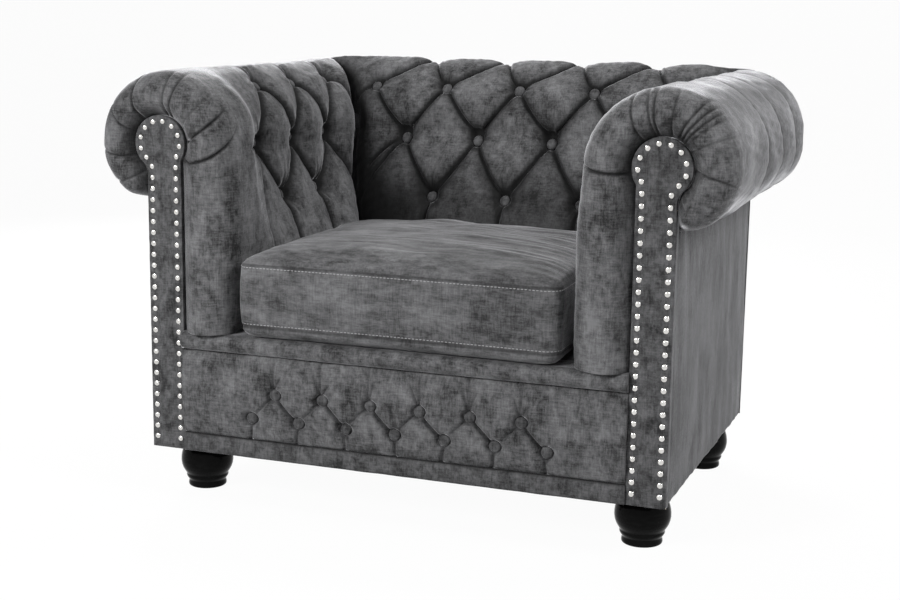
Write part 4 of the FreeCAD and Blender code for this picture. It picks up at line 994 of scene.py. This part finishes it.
# Turned profiles as (radius, height)
BUTTON_PROFILE = [(9.2, 0.1), (10.0, 1.0), (10.2, 2.4), (9.7, 4.2), (8.4, 5.6), (6.4, 6.5), (4.0, 7.0),
                  (1.6, 7.2), (0.3, 7.2)]
NAIL_PROFILE = [(4.75, 0.0), (4.7, 0.5), (4.3, 1.2), (3.5, 1.8), (2.3, 2.2), (1.1, 2.38), (0.2, 2.4)]
FOOT_PROFILE = [(28.5, 0.0), (30.5, 0.6), (31.8, 2.0), (32.0, 4.6), (31.6, 7.6), (31.0, 10.0),
                (31.6, 12.0), (33.6, 14.6), (35.2, 17.6), (35.4, 19.6), (34.9, 21.4), (36.0, 23.6),
                (38.6, 27.5), (41.2, 32.4), (43.0, 38.0), (43.9, 44.0), (43.8, 50.0), (42.9, 56.4),
                (41.2, 62.6), (38.6, 68.6), (35.6, 73.4), (33.4, 76.4), (33.0, 79.0), (33.0, 83.8)]


def make_buttons(name, seats, nodes):
    """Covered buttons: a domed top with the cloth drawn round the rim."""
    piece = lathe(name, BUTTON_PROFILE, seats, 28)
    finish_piece(piece, VELVET_FINE, "chair", nodes)


def make_facings():
    """The nail rows and the cover of each facing, which sinks a little at every nail."""
    for side, name in ((1, "right"), (-1, "left")):
        nails = studs("facing_nails_" + name)
        piece = lathe("nail_heads_" + name, NAIL_PROFILE, nails, 24)
        finish_piece(piece, NICKEL, "chair", ["facing_nails_" + name])

        outline = facing_line()
        outline = np.concatenate([outline, line_points(outline[-1], outline[0], 26)[1:]])
        outline = even_path(np.concatenate([outline, outline[:1]]), 520)[:-1]
        target = np.stack([np.interp(outline[:, 1], [0, 520, 560], [402.5, 402.5, HEAD_X]),
                           np.clip(outline[:, 1], BASE_Z + 26, HEAD_Z)], 1)
        shares = np.concatenate([[0.0, 0.0, 0.012], np.linspace(0.03, 0.9, 24)])
        heads = np.array([s for s, d in nails]) * [side, 1, 1]
        verts = []
        for k, share in enumerate(shares):
            ring = outline + (target - outline) * share
            inset = np.linalg.norm(ring - outline, axis=1)
            if k == 0:
                ring = ring + 0.35 * (ring - target) / np.linalg.norm(ring - target, axis=1, keepdims=True)
            puff = 1.0 * smooth(0, 7, inset) + 0.5 * smooth(9, 26, inset)
            gap = np.hypot(ring[:, None, 0] - heads[None, :, 0], ring[:, None, 1] - heads[None, :, 2])
            puff -= 1.0 * np.exp(-(gap.min(axis=1) / 6.5) ** 2)
            puff += 0.25 * waves(ring, 51 + side, 22)
            depth = np.full(len(ring), 18.0) if k == 0 else 1.1 - 0.9 * min(1, k / 2) - np.clip(puff, -0.6, 2)
            verts.append(np.stack([ring[:, 0] * side, depth, ring[:, 1]], 1))
        verts = np.concatenate(verts)
        n = len(outline)
        faces = []
        for k in range(len(shares) - 1):
            faces += band(k * n + np.arange(n), (k + 1) * n + np.arange(n))
        piece = make_mesh("facing_velvet_" + name, verts, faces)
        finish_piece(piece, VELVET_FINE, "chair", ["facing_cover_" + name])


def make_outside():
    """The flat covers of the arms' outsides and of the back, with small tucks along the upper edge."""
    for side, name in ((1, "right"), (-1, "left")):
        across = np.linspace(18.5, 598.5, 240)
        up = np.linspace(BASE_Z + 0.3, FOOT_Z - 0.8, 170)
        a, b = np.meshgrid(across, up, indexing="ij")
        rim = np.minimum(np.minimum(a - 18, 599 - a), np.minimum(b - BASE_Z, FOOT_Z - b))
        out = 432.2 + 1.6 * smooth(0, 60, rim) - 1.4 * np.exp(-rim / 3)
        out += 0.5 * waves(np.stack([a, b * 0.35], -1), 61 + side, 60)
        out += 0.6 * np.sin(a / 5.2 + 2 * np.sin(a / 37)) * np.exp(-(FOOT_Z - b) / 12)
        out += 0.4 * np.sin(a / 6.1 + 1.5 * np.sin(a / 31)) * np.exp(-(b - BASE_Z) / 9)
        # Painted shade along the cover's edges
        make_panel("outside_velvet_" + name, across, up, lambda p, q, off: np.stack([side * off, p, q], -1),
                   out, 429.2, VELVET_SIDE, ["outside_arm_cover_" + name], np.exp(-rim / 5))
    across = np.linspace(-STEM_OUT_X + 0.2, STEM_OUT_X - 0.2, 300)
    up = np.linspace(BASE_Z + 0.3, FOOT_Z - 0.8, 150)
    a, b = np.meshgrid(across, up, indexing="ij")
    rim = np.minimum(STEM_OUT_X - np.abs(a), np.minimum(b - BASE_Z, FOOT_Z - b))
    out = 602.0 + 1.8 * smooth(0, 60, rim) - 2.2 * np.exp(-rim / 3)
    out += 0.5 * waves(np.stack([a, b * 0.35], -1), 66, 60)
    out += 0.6 * np.sin(a / 5.4 + 2 * np.sin(a / 41)) * np.exp(-(FOOT_Z - b) / 12)
    # Painted shade along the cover's edges
    make_panel("outside_velvet_back", across, up, lambda p, q, off: np.stack([p, off, q], -1), out, 599.2,
               VELVET_SIDE, ["outside_back_cover"], np.exp(-rim / 5))


def make_feet():
    profile = even_path(FOOT_PROFILE, 60)
    for node in ("front_foot_left", "front_foot_right", "rear_foot_left", "rear_foot_right"):
        low, high = (unplace(c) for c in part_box(node))
        seat = ((low[0] + high[0]) / 2, (low[1] + high[1]) / 2, 0)
        piece = lathe("turned_" + node, profile, [(seat, (0, 0, 1))], 72)
        finish_piece(piece, LACQUER, "chair", [node])


# Seat cushion
CUSHION_HALF = 265.0
CUSHION_Y0 = -14.0
CUSHION_Y1 = 460.0
LOW_SEAM = 303.3
HIGH_SEAM = 405.3
ZIP_HALF = 209
TOOTH_PITCH = 1.6


def cushion_plan(a, b, inset, corner=26.0):
    """Plan of the cushion for a and b in -1..1, all round smaller by inset."""
    half_w = CUSHION_HALF - inset
    half_d = (CUSHION_Y1 - CUSHION_Y0) / 2 - inset
    x = a * half_w
    y = b * half_d
    dx = np.clip(np.abs(x) - half_w + corner, 0, None) / corner
    dy = np.clip(np.abs(y) - half_d + corner, 0, None) / corner
    both = (dx > 0) & (dy > 0)
    share_x, share_y = round_shares(dx, dy)
    ax = np.where(both, half_w - corner + corner * share_x, np.abs(x))
    ay = np.where(both, half_d - corner + corner * share_y, np.abs(y))
    ax = ax - 4.5 * (1 - b ** 2) * np.abs(a) ** 3
    ay = ay - 4.5 * (1 - a ** 2) * np.abs(b) ** 3
    return np.sign(x) * ax, (CUSHION_Y0 + CUSHION_Y1) / 2 + np.sign(y) * ay


def make_cushion():
    """The cover: a crowned top, boxing that stands out between its seams, and a tucked-in bottom."""
    n, m = 200, 180
    a, b = np.meshgrid(np.linspace(-1, 1, n), np.linspace(-1, 1, m), indexing="ij")
    x, y = cushion_plan(a, b, 1.5)
    rise = ((1 - np.abs(a) ** 6) * (1 - np.abs(b) ** 6)) ** 0.5
    crown = 23 * rise + 14 * (1 - a ** 2) * (1 - b ** 2)
    z = HIGH_SEAM + 0.6 + crown
    z += waves(np.stack([x, y * 1.3], -1), 71, 130) * 1.6 * rise
    z += waves(np.stack([x * 0.35, y * 1.5], -1), 72, 34) * 0.5 * rise
    top = np.stack([x, y, z], -1)
    x2, y2 = cushion_plan(a, b, 12)
    edge_rise = 1 - (1 - np.abs(a) ** 8) * (1 - np.abs(b) ** 8)
    bottom = np.stack([x2, y2, DECK_Z + 0.6 + 4 * edge_rise], -1)

    ii, jj = rim_loop(n, m)
    la, lb = a[ii, jj], b[ii, jj]
    levels = []
    heights = np.concatenate([np.linspace(HIGH_SEAM - 0.4, LOW_SEAM + 0.4, 46),
                              np.linspace(LOW_SEAM - 0.8, 287.5, 8)])
    for h in heights:
        if h > LOW_SEAM:
            t = (h - LOW_SEAM) / (HIGH_SEAM - LOW_SEAM)
            proud = 4.6 * np.clip(4 * t * (1 - t), 0, 1) ** 0.45 - 0.4
        else:
            t = (LOW_SEAM - h) / (LOW_SEAM - 286)
            proud = 0.2 + 1.6 * math.sin(min(1, 3 * t) * math.pi / 2) - 12 * t ** 2.2
        px, py = cushion_plan(la, lb, -proud)
        ring = np.stack([px, py, np.full(len(px), h)], 1)
        seam_gap = min(abs(h - LOW_SEAM), abs(h - HIGH_SEAM))
        lump = waves(ring * [1, 1, 0.6], 73, 80) * 1.1 * smooth(0, 12, seam_gap)
        middle = np.array([0, (CUSHION_Y0 + CUSHION_Y1) / 2, h])
        away = ring - middle
        ring = ring + away / np.linalg.norm(away, axis=1, keepdims=True) * lump[:, None]
        levels.append(ring)
    verts, faces = closed_body(top, levels, bottom)
    count = len(ii)
    pile_marks_and_painted_shade = np.zeros(len(verts))
    # Painted shade in the grooves at the boxing's top and bottom seams
    painted_seam_rows = [0, 1, 44, 45, 46]
    for k in painted_seam_rows:
        pile_marks_and_painted_shade[n * m + k * count:n * m + (k + 1) * count] = 0.5
    piece = make_mesh("seat_cushion_velvet", verts, faces, pile_marks_and_painted_shade, close=False)
    finish_piece(piece, VELVET_TOP, "seat_cushion", ["cushion_cover"])
    make_core()
    make_zip()
    make_topstitch(la, lb)


def make_topstitch(la, lb):
    """Two rows of light stitches: under the top seam and over the bottom one."""
    turn = np.linspace(0, 2 * math.pi, 7)[:-1]
    verts = []
    faces = []
    for height in (HIGH_SEAM - 5.5, LOW_SEAM + 5.5):
        t = (height - LOW_SEAM) / (HIGH_SEAM - LOW_SEAM)
        px, py = cushion_plan(la, lb, 0.2 - 4.6 * (4 * t * (1 - t)) ** 0.45)
        ring = np.stack([px, py, np.full(len(px), height)], 1)
        ring = np.concatenate([ring, ring[:1]])
        s = path_length(ring)
        for start in np.arange(0, s[-1] - 6, 6.0):
            ends = [np.array([np.interp(start + d, s, ring[:, k]) for k in range(3)])
                    for d in (0.4, 1.2, 3.6, 4.4)]
            run = ends[-1] - ends[0]
            run /= np.linalg.norm(run)
            side = np.cross(run, (0, 0, 1))
            first = len(verts)
            for point, r in zip(ends, (0.15, 0.5, 0.5, 0.15)):
                for angle in turn:
                    lift = np.array([0, 0, r * math.sin(angle)])
                    verts.append(point + side * (r * math.cos(angle) + 0.35) + lift)
            for k in range(3):
                for i in range(6):
                    a = first + 6 * k + i
                    b = first + 6 * k + (i + 1) % 6
                    faces.append((a, b, b + 6, a + 6))
            faces.append(tuple(range(first, first + 6)))
            faces.append(tuple(range(first + 18, first + 24)))
    piece = make_mesh("cushion_topstitch", verts, faces, close=False)
    finish_piece(piece, THREAD, "seat_cushion")


def make_core():
    """The foam inside: a rounded block, a little smaller than its cover."""
    n, m = 40, 36
    a, b = np.meshgrid(np.linspace(-1, 1, n), np.linspace(-1, 1, m), indexing="ij")
    crown = ((1 - np.abs(a) ** 6) * (1 - np.abs(b) ** 6)) ** 0.5
    x, y = cushion_plan(a, b, 9.0)
    top = np.stack([x, y, HIGH_SEAM - 3 + 20 * crown + 12 * (1 - a ** 2) * (1 - b ** 2)], -1)
    x, y = cushion_plan(a, b, 18.0)
    bottom = np.stack([x, y, np.full(x.shape, DECK_Z + 6)], -1)
    ii, jj = rim_loop(n, m)
    la, lb = a[ii, jj], b[ii, jj]
    levels = []
    for h, inset in ((HIGH_SEAM - 8, 5.5), (355, 4.5), (LOW_SEAM + 4, 6.0), (DECK_Z + 9, 13.0)):
        px, py = cushion_plan(la, lb, inset)
        levels.append(np.stack([px, py, np.full(len(px), h)], 1))
    verts, faces = closed_body(top, levels, bottom)
    piece = make_mesh("cushion_foam", verts, faces, close=False)
    finish_piece(piece, FOAM, "seat_cushion", ["cushion_core"])


def boxes(centres, size):
    """Vertices and faces of small bevelled blocks at centres."""
    corner = np.array([(sx, sy, sz) for sx in (-1, 1) for sy in (-1, 1) for sz in (-1, 1)])
    corner = corner * np.array(size) / 2
    sides = [(0, 1, 3, 2), (4, 6, 7, 5), (0, 4, 5, 1), (2, 3, 7, 6), (0, 2, 6, 4), (1, 5, 7, 3)]
    verts = []
    faces = []
    for c in centres:
        first = len(verts)
        verts.extend(corner + np.asarray(c))
        faces.extend([tuple(first + i for i in side) for side in sides])
    return verts, faces


def rear_wall(x):
    """Where the cushion's back boxing stands at x, halfway up."""
    return CUSHION_Y1 + 4.2 - 4.5 * (1 - (x / CUSHION_HALF) ** 2)


def make_zip():
    """The tape with its teeth in the back boxing, and the slider with its pull."""
    mid_z = (LOW_SEAM + HIGH_SEAM) / 2
    rows, cols = 120, 7
    xs = np.linspace(-ZIP_HALF, ZIP_HALF, rows)
    z = np.linspace(-4.4, 4.4, cols)
    a, b = np.meshgrid(xs, z, indexing="ij")
    front = np.stack([a, rear_wall(a) + 0.9 - 0.5 * np.exp(-(b / 0.8) ** 2), mid_z + b], -1)
    rear = front - [0, 0.9, 0]
    verts = np.concatenate([front.reshape(-1, 3), rear.reshape(-1, 3)])
    ii, jj = rim_loop(rows, cols)
    rim = ii * cols + jj
    sheet = rows * cols
    faces = grid_quads(rows, cols).tolist() + grid_quads(rows, cols, sheet).tolist() + band(rim, rim + sheet)
    first = len(verts)
    # The teeth stand in two rows that reach between each other
    tooth_x = np.arange(3 - ZIP_HALF, ZIP_HALF - 3, TOOTH_PITCH)
    teeth = [(x, rear_wall(x) + 1.3, mid_z + (0.55 if k % 2 else -0.55)) for k, x in enumerate(tooth_x)]
    more, sides = boxes(teeth, (1.1, 1.2, 2.2))
    verts = np.concatenate([verts, more])
    faces += [[first + i for i in side] for side in sides]
    piece = make_mesh("zip_tape_and_teeth", verts, faces, close=False)
    finish_piece(piece, TAPE, "seat_cushion", ["cushion_zip"])

    low, high = (unplace(c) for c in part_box("zip_slider"))
    cx = (low[0] + high[0]) / 2
    bm = bmesh.new()
    spots = [((cx, low[1] + 1.6, mid_z), (11, 2.6, 7.4)), ((cx + 1, low[1] + 3.0, mid_z), (4, 1.4, 2.6)),
             ((cx - 7.5, low[1] + 2.6, mid_z), (13, 1.0, 4.4))]
    for centre, size in spots:
        verts, faces = boxes([centre], size)
        made = [bm.verts.new(p) for p in place(verts)]
        for f in faces:
            bm.faces.new([made[i] for i in f])
    bmesh.ops.bevel(bm, geom=bm.edges[:], offset=0.35 * MM, segments=2, affect="EDGES")
    bmesh.ops.recalc_face_normals(bm, faces=bm.faces)
    mesh = bpy.data.meshes.new("zip_slider_and_pull")
    bm.to_mesh(mesh)
    bm.free()
    piece = new_object("zip_slider_and_pull", mesh)
    finish_piece(piece, NICKEL, "cushion_zip_slider", ["zip_slider"])


def make_deck():
    """The padded seat platform under the cushion, with a soft edge."""
    half, near_y, far_y, under = 355, 48.5, 518, 240.2
    across = np.linspace(-half, half, 150)
    deep = np.linspace(near_y, far_y, 100)
    a, b = np.meshgrid(across, deep, indexing="ij")
    rim = np.minimum(half - np.abs(a), np.minimum(b - near_y, far_y - b))
    out = DECK_Z - 0.6 - 3 * np.exp(-rim / 6)
    out = np.minimum(out + 0.4 * waves(np.stack([a, b], -1), 81, 90) * smooth(0, 30, rim), DECK_Z - 0.3)
    make_panel("seat_deck_velvet", across, deep, lambda p, q, off: np.stack([p, q, off], -1), out, under,
               VELVET, ["seat_deck_pad"], None)


# Build
for way in (1, -1):
    make_arm(way)
    tag = "right" if way > 0 else "left"
    make_buttons("arm_button_caps_" + tag, studs("arm_buttons_" + tag), ["arm_buttons_" + tag])
make_back()
make_buttons("back_button_caps", studs("back_buttons"), ["back_buttons"])
make_rail()
make_band()
make_seat_front()
make_facings()
make_outside()
make_feet()
make_deck()
make_cushion()


# Stage, light and camera
FLOOR_WHITE = 0.96


def seen_rays(nodes, links):
    """1 for what the camera, a reflection or a refraction sees, 0 for light that falls on the chair."""
    rays = nodes.new("ShaderNodeLightPath")
    seen = math_node(nodes, links, "MAXIMUM", rays.outputs["Is Camera Ray"], rays.outputs["Is Glossy Ray"])
    return math_node(nodes, links, "MAXIMUM", seen, rays.outputs["Is Transmission Ray"])


def mix_surface(nodes, links, share, first, second, output):
    mixer = nodes.new("ShaderNodeMixShader")
    links.new(share, mixer.inputs["Fac"])
    links.new(first, mixer.inputs[1])
    links.new(second, mixer.inputs[2])
    links.new(mixer.outputs["Shader"], nodes[output].inputs["Surface"])


def stage_floor():
    """A floor that bends up into a wall behind the chair; seen directly, it is plain white."""
    mesh = bpy.data.meshes.new("studio_floor")
    far = 14.0
    bend = 3.2
    r = 1.6
    profile = [(-far, 0.0), (bend, 0.0)]
    profile += [(bend + r * math.sin(t), r - r * math.cos(t)) for t in np.linspace(0.1, math.pi / 2, 10)]
    profile.append((bend + r, 9.0))
    verts = [(x, y, z) for x in (-far, far) for y, z in profile]
    n = len(profile)
    mesh.from_pydata(verts, [], [(i, i + 1, n + i + 1, n + i) for i in range(n - 1)])
    for polygon in mesh.polygons:
        polygon.use_smooth = True
    floor = new_object("studio_floor", mesh)
    material, nodes, links, shader = new_material("studio_white")
    shader.inputs["Base Color"].default_value = (0.82, 0.82, 0.82, 1)
    shader.inputs["Roughness"].default_value = 0.95
    shader.inputs["Specular IOR Level"].default_value = 0.0
    glow = nodes.new("ShaderNodeEmission")
    glow.inputs["Color"].default_value = (1, 1, 1, 1)
    seen = math_node(nodes, links, "MULTIPLY", seen_rays(nodes, links), FLOOR_WHITE)
    mix_surface(nodes, links, seen, shader.outputs["BSDF"], glow.outputs["Emission"], "Material Output")
    floor.data.materials.append(material)


def area_light(name, at, aim, size, power):
    light = bpy.data.lights.new(name, "AREA")
    light.shape = "RECTANGLE"
    light.size, light.size_y = size
    light.energy = power
    lamp = new_object(name, light)
    lamp.location = at
    lamp.rotation_euler = (Vector(aim) - Vector(at)).to_track_quat("-Z", "Y").to_euler()


def set_world():
    """A faint light from all round, and plain white where the world is seen."""
    world = bpy.data.worlds.new("studio")
    bpy.context.scene.world = world
    world.use_nodes = True
    nodes = world.node_tree.nodes
    links = world.node_tree.links
    soft = nodes["Background"]
    soft.inputs["Color"].default_value = (0.9, 0.9, 0.92, 1)
    soft.inputs["Strength"].default_value = 0.13
    white = nodes.new("ShaderNodeBackground")
    white.inputs["Color"].default_value = (1, 1, 1, 1)
    soft_light, plain_white = soft.outputs["Background"], white.outputs["Background"]
    mix_surface(nodes, links, seen_rays(nodes, links), soft_light, plain_white, "World Output")


CAMERA_AT = place((913.8, -2192.9, 819.7))
CAMERA_AIM = place((90.2, 0.0, 371.8))
CAMERA_ROLL = 0.754
LENS = 62.95


def set_camera():
    camera = bpy.data.cameras.new("camera")
    camera.lens = LENS
    camera.sensor_width = 36.0
    camera.clip_end = 60.0
    holder = new_object("camera", camera)
    forward = (Vector(CAMERA_AIM) - Vector(CAMERA_AT)).normalized()
    right = forward.cross(Vector((0, 0, 1))).normalized()
    up = right.cross(forward)
    roll = math.radians(CAMERA_ROLL)
    x = right * math.cos(roll) + up * math.sin(roll)
    y = up * math.cos(roll) - right * math.sin(roll)
    turn = Matrix((x, y, -forward)).transposed()
    holder.matrix_world = Matrix.Translation(CAMERA_AT) @ turn.to_4x4()
    bpy.context.scene.camera = holder


stage_floor()
set_world()
set_camera()
area_light("key", (-1.4, -2.9, 1.8), (0, -0.1, 0.4), (0.9, 0.9), 98)
area_light("fill", (2.3, -0.6, 2.2), (-0.1, 0, 0.45), (0.9, 0.9), 52)
area_light("top", (0.0, 1.1, 2.5), (0, 0.2, 0.6), (1.2, 0.6), 32)
area_light("rim", (-1.7, 2.5, 1.5), (0, 0.2, 0.6), (0.9, 1.1), 100)
bpy.context.scene.view_settings.view_transform = "Standard"
